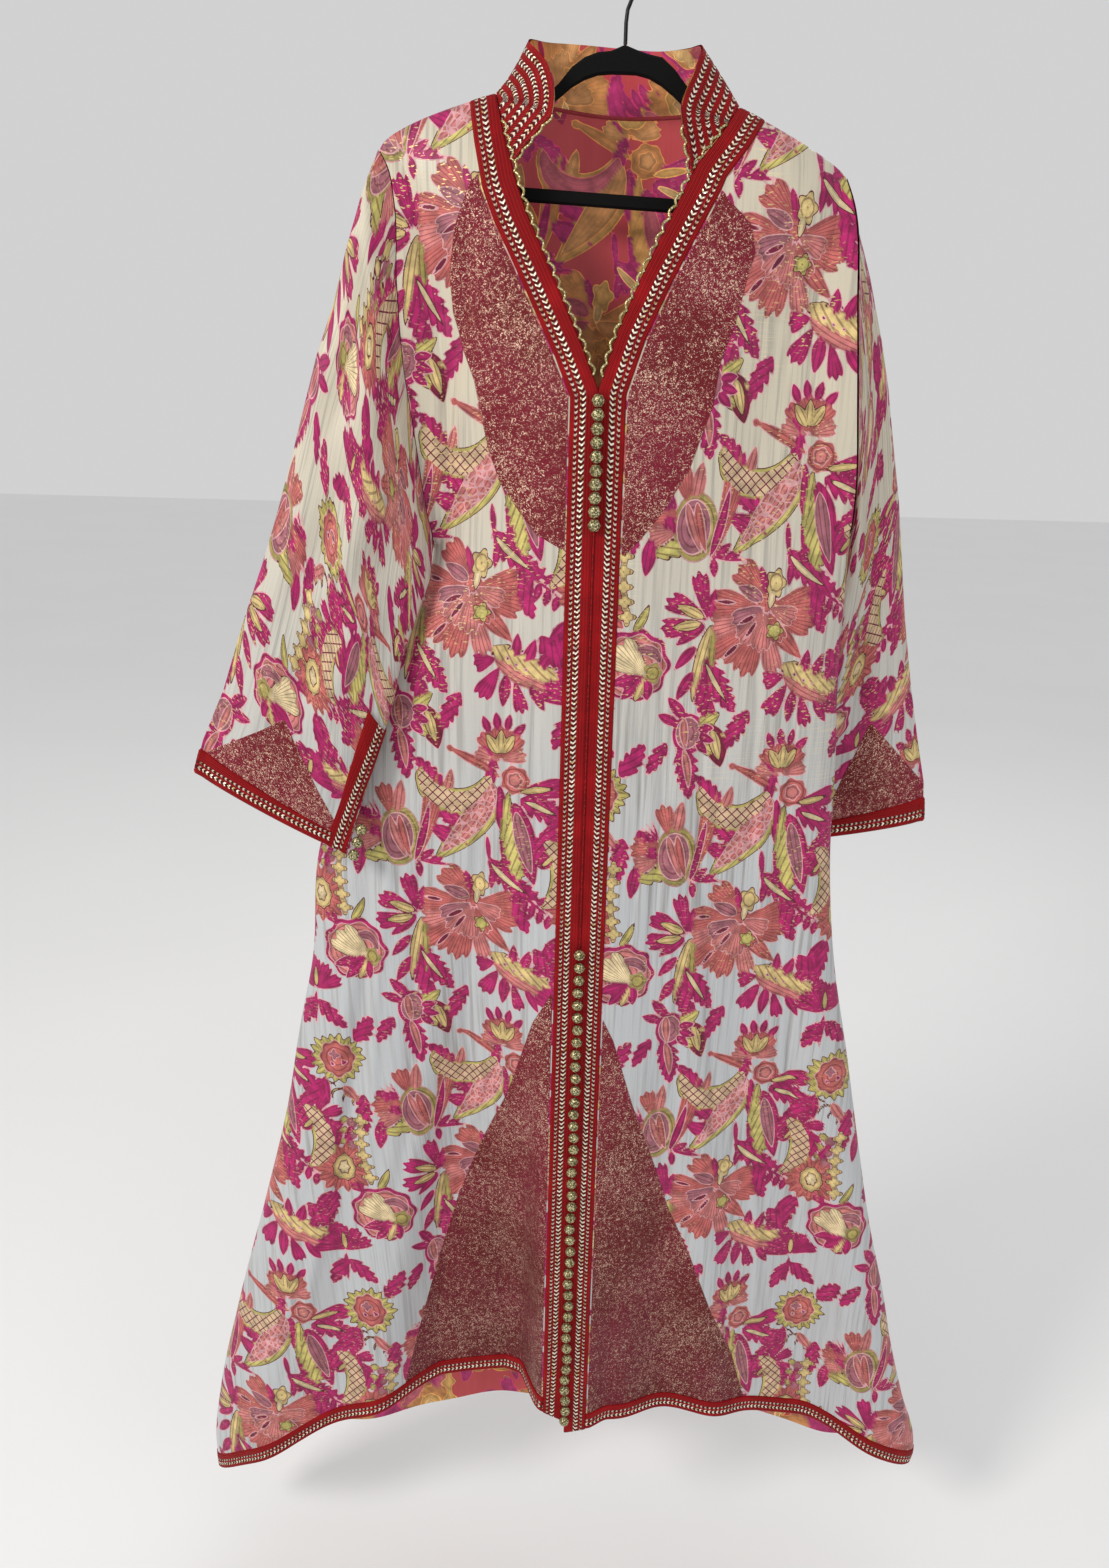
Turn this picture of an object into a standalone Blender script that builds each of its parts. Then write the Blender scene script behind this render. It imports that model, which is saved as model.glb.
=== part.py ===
"""Long open-front kaftan with a stand collar and braid bands, on a slim hanger.

Metres, +Z up. The origin is the inner crown of the hanger's hook, where a rail bears.
The garment's front faces -Y, and +X is the right side of a viewer who stands before it.
Every cloth piece is a thin wall round a grid of points, so a braid that lies on a panel
uses that panel's own grid points, moved out along their normals.
"""
import math

import bpy
import numpy as np

# Cloth and trim
WALL = 0.0014            # brocade and its lining, sewn as one
BRAID = 0.0016           # braid bands
COLLAR_WALL = 0.0022     # stiffened collar
GAP = 0.0003             # between pieces at a seam
LAY = 0.00035            # between a panel and what lies on it
SLEEVE_SHIFT = 0.0013    # sleeve head clear of the armhole edge
SLEEVE_BOW = 0.008       # how far the sleeve head bows outwards from its chord
BOW_END = 0.3            # share of the sleeve where that bow ends
EVEN_AFTER = 0.6         # share of the sleeve where its columns have become even
BAND_WIDTH = 0.0265      # each front band
CUFF_WIDTH = 0.018

# Lines of the garment
CENTRE_X = -0.012        # closed front edge
NECK_Z_LEFT = -0.127
NECK_Z_RIGHT = -0.133
LEFT_HEM_Z = -1.575      # front hem beside the bands
RIGHT_HEM_Z = -1.599
LEFT_TIP = 0.013         # the closed edge's corner hangs this much lower
RIGHT_TIP = 0.006
BACK_HEM_Z = -1.688
LEFT_BOWS = (0.62, 2.2)  # shoulder: below 1 it climbs fast from the armhole. Hem: above 1, from the side
RIGHT_BOWS = (0.80, 2.5)
BACK_HEM_BOW = 1.9
BOW_CHANGE = 0.3         # share of the length over which the back's rows change their bow
FLAT_EDGE = 0.0011       # half distance of the two walls where an armhole closes
SECTION_POWERS = ((-0.32, -0.18), (2.2, 6.0))   # two heights, and how flat the section is there
ROUND_BELOW = 0.10       # this far below the underarm the side seam has become round
HOLE_SHARE = 0.5         # share of a half section that the armhole's opening reaches
FOLD_SHARE = 0.25        # share of a half section beyond which folds show in full
FOLD_DROPS = (0.06, 0.1)  # below the seam, front and back, folds show in full
FOLD_FROM_BAND = 0.03    # and this far from the band

# Rows of every body panel, as fractions of the way from shoulder seam to hem
NECK_ROWS = (0, 0.0015, 0.006, 0.014, 0.028, 0.043)
CHEST_ROWS = (0.075, 0.107, 0.138, 0.169, 0.195, 0.22)
UNDERARM_ROW = 0.22
LOWER_STEPS = 14
HEM_ROW = 0.985
ROWS = np.array(NECK_ROWS + CHEST_ROWS
                + tuple(np.linspace(UNDERARM_ROW, HEM_ROW, LOWER_STEPS + 1)[1:]) + (1.0,))
COLLAR_ROW = len(NECK_ROWS) - 1
ARM_ROW = len(NECK_ROWS) + len(CHEST_ROWS) - 1
BAND_TOP_ROW = 1
EDGE_COLUMNS = 3         # sleeve columns under the braid of a slit edge

# Columns: front panels from side seam to band, back panel from side seam to side seam
FRONT_COLUMNS = np.concatenate([[0, 0.012, 0.045], np.linspace(0.10, 1, 13)])
BACK_SIDE = (0, 0.006, 0.022, 0.05, 0.09, 0.14, 0.195)
BACK_NECK = 0.25
BACK_COLUMNS = np.concatenate([BACK_SIDE, np.linspace(BACK_NECK, 1 - BACK_NECK, 13),
                               1 - np.array(BACK_SIDE)[::-1]])
NECK_COLUMNS = (len(BACK_SIDE), len(BACK_COLUMNS) - 1 - len(BACK_SIDE))

# Side outline: z, x. Shoulder point, armhole down to the underarm, side seam to the hem
LEFT_SIDE = ((-0.176, -0.222), (-0.190, -0.214), (-0.222, -0.207), (-0.290, -0.205),
             (-0.369, -0.199), (-0.427, -0.190), (-0.503, -0.179), (-0.538, -0.173),
             (-0.600, -0.188), (-0.680, -0.225), (-0.770, -0.265), (-0.871, -0.300),
             (-1.008, -0.313), (-1.097, -0.331), (-1.204, -0.350), (-1.314, -0.377),
             (-1.477, -0.420), (-1.622, -0.453), (-1.698, -0.463), (-1.745, -0.461))
RIGHT_SIDE = ((-0.189, 0.213), (-0.215, 0.221), (-0.308, 0.231), (-0.398, 0.240),
              (-0.467, 0.247), (-0.530, 0.249), (-0.685, 0.252), (-0.757, 0.257),
              (-0.872, 0.262), (-0.990, 0.277), (-1.114, 0.304), (-1.228, 0.328),
              (-1.346, 0.354), (-1.450, 0.382), (-1.523, 0.399), (-1.597, 0.420),
              (-1.692, 0.445), (-1.708, 0.442))
LEFT_UNDERARM_Z = -0.538
RIGHT_UNDERARM_Z = -0.515

# Front edge as distance from the centre line: z, half opening. Neck seam, V, closed front
LEFT_OPENING = ((-0.127, 0.102), (-0.160, 0.094), (-0.200, 0.082), (-0.230, 0.071),
                (-0.292, 0.041), (-0.347, 0.015), (-0.384, 0.0), (-1.700, 0.0))
RIGHT_OPENING = ((-0.133, 0.122), (-0.160, 0.104), (-0.187, 0.082), (-0.237, 0.058),
                 (-0.281, 0.037), (-0.331, 0.016), (-0.384, 0.0), (-1.700, 0.0))
BAND_TAPER = ((-0.127, 0.024), (-0.200, 0.030), (-0.240, 0.029), (-0.384, 0.0265))

# Half depth at the middle of the body: z, front, back
DEPTHS = ((-0.127, 0.012, 0.012), (-0.160, 0.022, 0.020), (-0.200, 0.036, 0.027),
          (-0.300, 0.046, 0.034), (-0.500, 0.050, 0.037), (-0.800, 0.053, 0.041),
          (-1.200, 0.060, 0.052), (-1.500, 0.070, 0.062), (-1.750, 0.080, 0.070))
SHOULDER_ROUND = 0.030   # drop over which the cloth rounds off the hanger's arms
NECK_BACK_DEPTH = 0.050  # the back neck stands this far behind the shoulder seams
NECK_BACK_FALL = 0.20
NECK_BACK_DIP = 0.006    # the neck seam is this much lower at the back than at the shoulders
ARMHOLE_HALF = 0.022     # half opening of the armhole

# Soft folds: start z, x there, x at the hem, half width there, at the hem, push at the hem
FRONT_FOLDS = ((-0.62, -0.150, -0.125, 0.035, 0.112, 0.080),
               (-0.45, -0.105, -0.235, 0.022, 0.030, -0.009),
               (-0.70, -0.215, -0.300, 0.028, 0.042, 0.015),
               (-0.95, -0.270, -0.385, 0.026, 0.034, -0.008),
               (-0.75, 0.080, 0.108, 0.028, 0.040, 0.020),
               (-0.60, 0.120, 0.250, 0.050, 0.140, 0.050),
               (-0.55, 0.060, 0.180, 0.022, 0.028, -0.009),
               (-0.80, 0.190, 0.300, 0.025, 0.032, 0.009),
               (-1.05, 0.250, 0.372, 0.026, 0.030, -0.007))
BACK_FOLDS = ((-0.55, -0.120, -0.260, 0.034, 0.046, -0.015),
              (-0.45, -0.020, -0.100, 0.040, 0.050, 0.012),
              (-0.60, 0.060, 0.055, 0.036, 0.050, -0.016),
              (-0.50, 0.130, 0.215, 0.034, 0.046, 0.011),
              (-0.85, 0.200, 0.335, 0.030, 0.040, -0.012),
              (-0.95, -0.230, -0.375, 0.030, 0.040, 0.010))
# Shallow sags over the chest: z, x, half height, half width, push
CHEST_SAGS = ((-0.300, -0.160, 0.09, 0.030, 0.006), (-0.420, 0.150, 0.12, 0.035, 0.007),
              (-0.560, -0.100, 0.14, 0.028, 0.006), (-0.600, 0.085, 0.16, 0.030, 0.005))

# Sleeves: outer line and inner line as x, z, from shoulder and underarm down to the cuff
LEFT_OUTER = ((-0.222, -0.176), (-0.236, -0.214), (-0.250, -0.262), (-0.263, -0.314),
              (-0.279, -0.358), (-0.301, -0.438), (-0.320, -0.503), (-0.338, -0.558),
              (-0.357, -0.610), (-0.381, -0.683), (-0.404, -0.735), (-0.414, -0.770))
LEFT_INNER = ((-0.173, -0.536), (-0.176, -0.571), (-0.189, -0.609), (-0.203, -0.650),
              (-0.212, -0.696), (-0.262, -0.854))
RIGHT_OUTER = ((0.213, -0.189), (0.229, -0.222), (0.250, -0.272), (0.269, -0.328),
               (0.282, -0.374), (0.295, -0.431), (0.308, -0.487), (0.318, -0.543),
               (0.331, -0.615), (0.346, -0.687), (0.361, -0.749), (0.374, -0.799), (0.379, -0.846))
RIGHT_INNER = ((0.251, -0.513), (0.251, -0.545), (0.244, -0.600), (0.231, -0.685),
               (0.218, -0.768), (0.207, -0.876))
SLEEVE_STEPS = 13
SLIT_START = 0.56        # where the underarm seam opens, as a fraction of the sleeve
SLIT_OPEN = 0.006        # half opening of the slit at the cuff
SLEEVE_LENGTH = 0.42     # along the underarm
SLEEVE_HEAD = 0.05       # share of the sleeve down to its first ring
SLIT_SHARES = (0, 0.012, 0.04)       # first columns, as shares of the way round
EVEN_COLUMNS = (0.075, 0.925)        # between these the columns are even
RING_STEPS = 361         # points round a sleeve section before it is shared out
# Sleeve section: fraction, distance in front of the body's middle plane, half depth
LEFT_HANG = ((0, 0.0, 0.022), (0.02, 0.009, 0.022), (0.1, 0.022, 0.023), (0.3, 0.038, 0.025),
             (0.6, 0.050, 0.022), (1, 0.058, 0.014))
RIGHT_HANG = ((0, 0.0, 0.022), (0.02, -0.009, 0.022), (0.1, -0.022, 0.023),
              (0.3, -0.040, 0.024), (0.6, -0.056, 0.021), (1, -0.070, 0.017))

# Collar top edge: fraction round from left front to right front, x, y, z
COLLAR_TOP = ((0.00, -0.062, -0.040, -0.150), (0.05, -0.060, -0.038, -0.134),
              (0.13, -0.067, -0.024, -0.106), (0.22, -0.084, -0.002, -0.083),
              (0.30, -0.068, 0.030, -0.077), (0.42, -0.034, 0.046, -0.075),
              (0.52, -0.004, 0.050, -0.076), (0.64, 0.036, 0.044, -0.079),
              (0.74, 0.062, 0.026, -0.080), (0.81, 0.072, -0.002, -0.084),
              (0.89, 0.066, -0.022, -0.106), (0.96, 0.054, -0.038, -0.140),
              (1.00, 0.056, -0.040, -0.156))
COLLAR_ROWS = 3
COLLAR_SPREAD = 0.001

# Buttons
BUTTON_R = 0.0060
BUTTON_DEPTH_R = 0.0052
BUTTON_SIDES = 8
BUTTON_RINGS = 5
TOP_BUTTONS = 10
TOP_BUTTON_Z = (-0.393, -0.509)
LOWER_BUTTONS = 42
LOWER_BUTTON_Z = (-0.966, -1.582)
BAND_JOIN = 0.001        # how far above the V's foot the bands already count as closed
ROW_NECK_R = 0.0016      # loop cord between two buttons of the long row
ROW_PROFILE = ((-0.40, 0.40), (-0.17, 0.96), (0.17, 0.96), (0.40, 0.40))   # along a button, its width
ROW_SIDES = 6
CUFF_BUTTONS = (0.74, 0.86, 0.98)   # along the slit, from its top to the cuff

# Hanger
HANGER_HALF = 0.004      # half thickness front to back
HANGER_ROUND = 0.0018
HANGER_TOP = ((-0.198, -0.1600), (-0.170, -0.1489), (-0.137, -0.1389), (-0.100, -0.130),
              (-0.0612, -0.1219), (-0.0468, -0.1048), (-0.0274, -0.0922), (-0.0078, -0.0890),
              (0.003, -0.0845), (0.0179, -0.0902), (0.0418, -0.0962), (0.0607, -0.1163),
              (0.095, -0.134), (0.127, -0.1479), (0.160, -0.1587), (0.190, -0.1716))
HANGER_PEAK = 8          # row of the small peak that holds the hook
# Under edge of the arch inside the neck: x, z
HANGER_UNDER = ((-0.100, -0.1485), (-0.080, -0.1420), (-0.0598, -0.1316), (-0.0464, -0.1207),
                (-0.0267, -0.1106), (0.0007, -0.1081), (0.0227, -0.1098), (0.0431, -0.1202),
                (0.0600, -0.1340), (0.078, -0.1440), (0.095, -0.1515))
HANGER_ARM = 0.019       # depth of the arms
HANGER_TIP_ARM = 0.013
HANGER_CLEAR = ((0.10, 0.0021), (0.17, 0.0023), (0.198, 0.0042))   # distance out, below the seam
HANGER_BAR = 0.012
HANGER_BAR_Z = -0.2145   # middle of the bar where x is 0
HANGER_TILT = -0.046     # fall of the bar per metre to the right
HANGER_HOLE = 0.150      # half width of the gap over the bar
HANGER_STATIONS = 17
HOOK_R = 0.0208          # middle of the wire round the rail
HOOK_WIRE = 0.0018
HOOK_FOOT_Z = -0.0838
HOOK_STEM = ((0, HOOK_FOOT_Z), (0, -0.066), (0.001, -0.056), (0.005, -0.046), (0.0095, -0.039))
HOOK_TURN = (-38, 205)   # degrees
HOOK_POINTS = 22

COLOURS = {              # base colour, roughness, metallic
    "brocade": ((0.62, 0.50, 0.42, 1), 0.42, 0.0),
    "braid": ((0.42, 0.01, 0.015, 1), 0.55, 0.1),
    "gold": ((0.55, 0.42, 0.18, 1), 0.35, 0.8),
    "hanger": ((0.01, 0.01, 0.01, 1), 0.85, 0.0),
    "hook": ((0.03, 0.03, 0.03, 1), 0.3, 0.9),
}


def clear_scene():
    for obj in list(bpy.data.objects):
        bpy.data.objects.remove(obj, do_unlink=True)


def material(name):
    """The Principled material of this colour name, made once."""
    found = bpy.data.materials.get(name)
    if found:
        return found
    colour, roughness, metallic = COLOURS[name]
    made = bpy.data.materials.new(name)
    made.use_nodes = True
    shader = made.node_tree.nodes["Principled BSDF"]
    shader.inputs["Base Color"].default_value = colour
    shader.inputs["Roughness"].default_value = roughness
    shader.inputs["Metallic"].default_value = metallic
    made.diffuse_color = colour
    return made


def add_object(name, points, faces, colour, sharp_degrees=50):
    mesh = bpy.data.meshes.new(name)
    mesh.from_pydata(points.tolist(), [], faces)
    mesh.shade_smooth()
    mesh.set_sharp_from_angle(angle=math.radians(sharp_degrees))
    mesh.materials.append(material(colour))
    obj = bpy.data.objects.new(name, mesh)
    bpy.context.scene.collection.objects.link(obj)
    return obj


def smooth(value):
    """Rises from 0 to 1 with level ends."""
    value = np.clip(value, 0, 1)
    return value * value * (3 - 2 * value)


def through(table, where, column=1):
    """A curve through the rows of a table, level at no row it doesn't have to be."""
    rows = np.array(table)
    rows = rows[np.argsort(rows[:, 0])]
    keys, values = rows[:, 0], rows[:, column]
    slopes = np.gradient(values, keys)
    where = np.clip(where, keys[0], keys[-1])
    index = np.clip(np.searchsorted(keys, where) - 1, 0, len(keys) - 2)
    step = keys[index + 1] - keys[index]
    t = (where - keys[index]) / step
    start = (2 * t**3 - 3 * t**2 + 1) * values[index] + (t**3 - 2 * t**2 + t) * step * slopes[index]
    end = (3 * t**2 - 2 * t**3) * values[index + 1] + (t**3 - t**2) * step * slopes[index + 1]
    return start + end


def along(points, fractions):
    """Points at these fractions of the length of a polyline."""
    points = np.asarray(points, float)
    lengths = np.concatenate([[0], np.cumsum(np.linalg.norm(np.diff(points, axis=0), axis=1))])
    where = np.asarray(fractions) * lengths[-1]
    return np.stack([np.interp(where, lengths, points[:, k]) for k in range(points.shape[1])], -1)


def unit(vectors):
    return vectors / np.maximum(np.linalg.norm(vectors, axis=-1, keepdims=True), 1e-12)


def grid_normals(grid, outward):
    """Normals of a grid of points, on the side that the outward vectors point to."""
    normals = unit(np.cross(np.gradient(grid, axis=0), np.gradient(grid, axis=1)))
    facing = np.sign((normals * outward).sum(-1, keepdims=True))
    return normals * np.where(facing == 0, 1, facing)


def inset(grid, first_row=0.0, last_row=0.0, first_column=0.0, last_column=0.0):
    """The same grid with its edges drawn in by these lengths."""
    grid = grid.copy()
    grid[0] += first_row * unit(grid[1] - grid[0])
    grid[-1] += last_row * unit(grid[-2] - grid[-1])
    grid[:, 0] += first_column * unit(grid[:, 1] - grid[:, 0])
    grid[:, -1] += last_column * unit(grid[:, -2] - grid[:, -1])
    return grid


def add_wall(name, inner, outer, colour):
    """A closed wall between two grids of the same size, with one diagonal on both sides."""
    rows, columns = inner.shape[:2]
    count = rows * columns
    index = np.arange(count).reshape(rows, columns)
    a, b, c, d = index[:-1, :-1], index[:-1, 1:], index[1:, 1:], index[1:, :-1]
    under = np.concatenate([np.stack([a, b, c], -1).reshape(-1, 3),
                            np.stack([a, c, d], -1).reshape(-1, 3)])
    rim = np.concatenate([index[0], index[1:, -1], index[-1, -2::-1], index[-2:0:-1, 0]])
    after = np.roll(rim, -1)
    sides = np.concatenate([np.stack([rim, rim + count, after + count], -1),
                            np.stack([rim, after + count, after], -1)])
    faces = np.concatenate([under, under[:, ::-1] + count, sides])
    points = np.concatenate([inner.reshape(-1, 3), outer.reshape(-1, 3)])
    if np.linalg.det(points[faces]).sum() < 0:
        faces = faces[:, ::-1]
    return add_object(name, points, faces.tolist(), colour)


def add_cloth(name, grid, normals, colour="brocade", thickness=WALL, lift=0.0):
    """A wall of cloth. Without lift the grid is its middle, and with it the wall stands clear."""
    low = lift or -thickness / 2
    return add_wall(name, grid + normals * low, grid + normals * (low + thickness), colour)


def add_tube(name, rings, colour):
    """Rings of points joined into a closed tube with flat ends."""
    count, sides = rings.shape[:2]
    index = np.arange(count * sides).reshape(count, sides)
    turned = np.roll(index, -1, axis=1)
    quads = np.stack([index[:-1], turned[:-1], turned[1:], index[1:]], -1).reshape(-1, 4)
    faces = quads.tolist() + [index[0, ::-1].tolist(), index[-1].tolist()]
    points = rings.reshape(-1, 3)
    triangles = np.concatenate([quads[:, :3], quads[:, [0, 2, 3]]])
    centred = points - points.mean(axis=0)
    if np.linalg.det(centred[triangles]).sum() < 0:
        faces = [face[::-1] for face in faces]
    return add_object(name, points, faces, colour)


def fold_push(x, z, folds, hem_z):
    """Sum of the folds: each is a bell across x that widens and deepens down to the hem."""
    push = np.zeros_like(x)
    for start, x_start, x_hem, half_start, half_hem, depth in folds:
        down = np.clip((start - z) / (start - hem_z), 0, 1.1)
        middle = x_start + (x_hem - x_start) * down
        half = half_start + (half_hem - half_start) * down
        push += depth * smooth(down) * np.exp(-((x - middle) / half) ** 2)
    return push


def chest_push(x, z):
    push = np.zeros_like(x)
    for middle_z, middle_x, half_z, half_x, depth in CHEST_SAGS:
        push += depth * np.exp(-((x - middle_x) / half_x) ** 2 - ((z - middle_z) / half_z) ** 2)
    return push


def row_heights(side, underarm_z, centre_top, centre_hem):
    """Height of each row at the side and at the centre."""
    marks = (0, UNDERARM_ROW, 1)
    at_side = np.interp(ROWS, marks, (side[0][0], underarm_z, side[-1][0]))
    return at_side, centre_top + (centre_hem - centre_top) * ROWS


def row_bend(u, fraction, bows):
    """How a row climbs from side to centre: bowed like a shoulder on top, like a dipped hem below."""
    return (1 - fraction) * u ** bows[0] + fraction * (1 - (1 - u) ** bows[1])


def side_profile(tau, z, underarm_z, row):
    """Depth across half a section: flat at the armhole, a rounded edge at the side seam."""
    power = np.interp(z, *SECTION_POWERS)
    flat = 1 - (1 - tau) ** power
    rounded = np.sqrt(1 - (1 - tau) ** 2)
    turn = smooth((underarm_z - z) / ROUND_BELOW)
    return np.where(row > ARM_ROW, flat + (rounded - flat) * turn, flat)


def armhole_depth(z, top_z, underarm_z):
    """Half opening of the armhole, an ellipse from shoulder to underarm."""
    middle = (top_z + underarm_z) / 2
    half = (top_z - underarm_z) / 2
    return FLAT_EDGE + ARMHOLE_HALF * np.sqrt(np.clip(1 - ((z - middle) / half) ** 2, 0, 1))


def body_depth(x, z, drop, side_x, top_z, underarm_z, row, column):
    """Distance of a front or back point from the middle plane before folds, and its place across."""
    tau = np.clip((x - side_x) / (CENTRE_X - side_x), 0, 1)
    rounding = np.sqrt(1 - (1 - np.clip(drop / SHOULDER_ROUND, 0, 1)) ** 2)
    edge = np.where((z < top_z) & (z > underarm_z), armhole_depth(z, top_z, underarm_z), 0)
    edge = np.where(row == ARM_ROW, FLAT_EDGE, edge) * (1 - smooth(tau / HOLE_SHARE))
    depth = through(DEPTHS, z, column) * side_profile(tau, z, underarm_z, row)
    return np.maximum(depth, edge) * np.where(row == 0, 0, rounding), tau


def seam_normals(grid, normals, rows, column, away):
    """Turns the edge normals into the middle plane, so that two seam edges meet face to face."""
    line = np.gradient(grid[:, column], axis=0)[rows]
    turned = unit(np.cross(line, (0, 1, 0)))
    turned *= np.where(turned[:, :1] * away < 0, -1, 1)
    normals[rows, column] = turned


def front_panel(side, opening, underarm_z, neck_z, hem_z, tip, bows, hand):
    """Grid and normals of one front; hand is -1 for the viewer's left and 1 for the right."""
    side_z, centre_z = row_heights(side, underarm_z, neck_z, hem_z)
    side_x = through(side, side_z)
    centre_x = CENTRE_X + hand * np.maximum(np.interp(-centre_z, -np.array(opening)[:, 0],
                                                      np.array(opening)[:, 1]), GAP / 2)
    width = np.abs(centre_x - side_x)
    band = np.interp(-centre_z, -np.array(BAND_TAPER)[:, 0], np.array(BAND_TAPER)[:, 1])
    edge = 1 - band / width
    u = np.concatenate([FRONT_COLUMNS[None, :] * edge[:, None], np.ones((len(ROWS), 1))], axis=1)
    x = side_x[:, None] + (centre_x - side_x)[:, None] * u
    z = side_z[:, None] + (centre_z - side_z)[:, None] * row_bend(u, ROWS[:, None], bows)
    top = side_z[0] + (centre_z[0] - side_z[0]) * row_bend(u, 0, bows)
    z[-2:, -1] -= tip
    row = np.arange(len(ROWS))[:, None] + 0 * u
    depth, tau = body_depth(x, z, top - z, side_x[:, None], side[0][0], underarm_z, row, 1)
    push = fold_push(x, z, FRONT_FOLDS, hem_z) + chest_push(x, z)
    away_from_band = smooth((np.abs(x - CENTRE_X) - BAND_WIDTH) / FOLD_FROM_BAND)
    y = -depth + push * smooth(tau / FOLD_SHARE) * smooth((top - z) / FOLD_DROPS[0]) * away_from_band
    y = np.minimum(y, -GAP / 2)
    grid = np.stack([x, y, z], -1)
    normals = grid_normals(grid, np.array((hand * 0.3, -1, 0.05)))
    normals[0] = unit(np.cross(np.gradient(grid[0], axis=0), (0, 1, 0)))
    normals[0] *= np.sign(normals[0][:, 2:])
    seam_normals(grid, normals, slice(ARM_ROW + 1, None), 0, hand)
    return grid, normals


def back_panel():
    sides = ((LEFT_SIDE, LEFT_UNDERARM_Z, NECK_Z_LEFT), (RIGHT_SIDE, RIGHT_UNDERARM_Z, NECK_Z_RIGHT))
    u = BACK_COLUMNS[None, :] + 0 * ROWS[:, None]
    row = np.arange(len(ROWS))[:, None] + 0 * u
    neck_x = (CENTRE_X - LEFT_OPENING[0][1], CENTRE_X + RIGHT_OPENING[0][1])
    heights, xs = [], []
    for side, underarm_z, neck_z in sides:
        side_z, centre_z = row_heights(side, underarm_z, neck_z, BACK_HEM_Z)
        heights.append((side_z, centre_z))
        xs.append(through(side, side_z))
    left_x, right_x = xs
    near = np.minimum(u, 1 - u) * 2
    left_half = u < 0.5
    side_z = np.where(left_half, heights[0][0][:, None], heights[1][0][:, None])
    blend = smooth((u - BACK_NECK) / (1 - 2 * BACK_NECK))
    centre_z = heights[0][1][:, None] * (1 - blend) + heights[1][1][:, None] * blend
    shoulder_u = np.clip(near / (2 * BACK_NECK), 0, 1)
    bend_top = shoulder_u ** np.where(left_half, LEFT_BOWS[0], RIGHT_BOWS[0])
    bend_low = 1 - (1 - near) ** BACK_HEM_BOW
    lower = smooth(ROWS[:, None] / BOW_CHANGE)
    z = side_z + (centre_z - side_z) * ((1 - lower) * bend_top + lower * bend_low)
    in_neck = np.clip((near / 2 - BACK_NECK) / (0.5 - BACK_NECK), 0, 1)
    z -= NECK_BACK_DIP * smooth(in_neck) * (1 - lower)
    x = left_x[:, None] + (right_x - left_x)[:, None] * u
    spread = np.interp(u, (0, BACK_NECK, 1 - BACK_NECK, 1), (xs[0][0], *neck_x, xs[1][0]))
    x += (spread - (xs[0][0] + (xs[1][0] - xs[0][0]) * u)) * (1 - lower)
    side_x = np.where(left_half, left_x[:, None], right_x[:, None])
    top_z = np.where(left_half, LEFT_SIDE[0][0], RIGHT_SIDE[0][0])
    underarm = np.where(left_half, LEFT_UNDERARM_Z, RIGHT_UNDERARM_Z)
    drop = z[:1] - z
    depth, tau = body_depth(x, z, drop, side_x, top_z, underarm, row, 2)
    middle = (neck_x[0] + neck_x[1]) / 2
    half = (neck_x[1] - neck_x[0]) / 2
    neck = NECK_BACK_DEPTH * np.sqrt(np.clip(1 - ((x - middle) / half) ** 2, 0, 1))
    held = 1 - smooth(drop / NECK_BACK_FALL)
    y = neck * held + depth * (1 - neck / NECK_BACK_DEPTH * held)
    push = fold_push(x, z, BACK_FOLDS, BACK_HEM_Z)
    y = np.maximum(y + push * smooth(tau / FOLD_SHARE) * smooth(drop / FOLD_DROPS[1]), GAP / 2)
    grid = np.stack([x, y, z], -1)
    normals = grid_normals(grid, np.array((0, 1, 0.05)))
    across = unit(np.cross(np.gradient(grid[0], axis=0), (0, 1, 0)))
    across *= np.sign(across[:, 2:])
    for columns in (slice(0, NECK_COLUMNS[0] + 1), slice(NECK_COLUMNS[1], None)):
        normals[0, columns] = across[columns]
    seam_normals(grid, normals, slice(ARM_ROW + 1, None), 0, -1)
    seam_normals(grid, normals, slice(ARM_ROW + 1, None), -1, 1)
    return grid, normals


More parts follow.
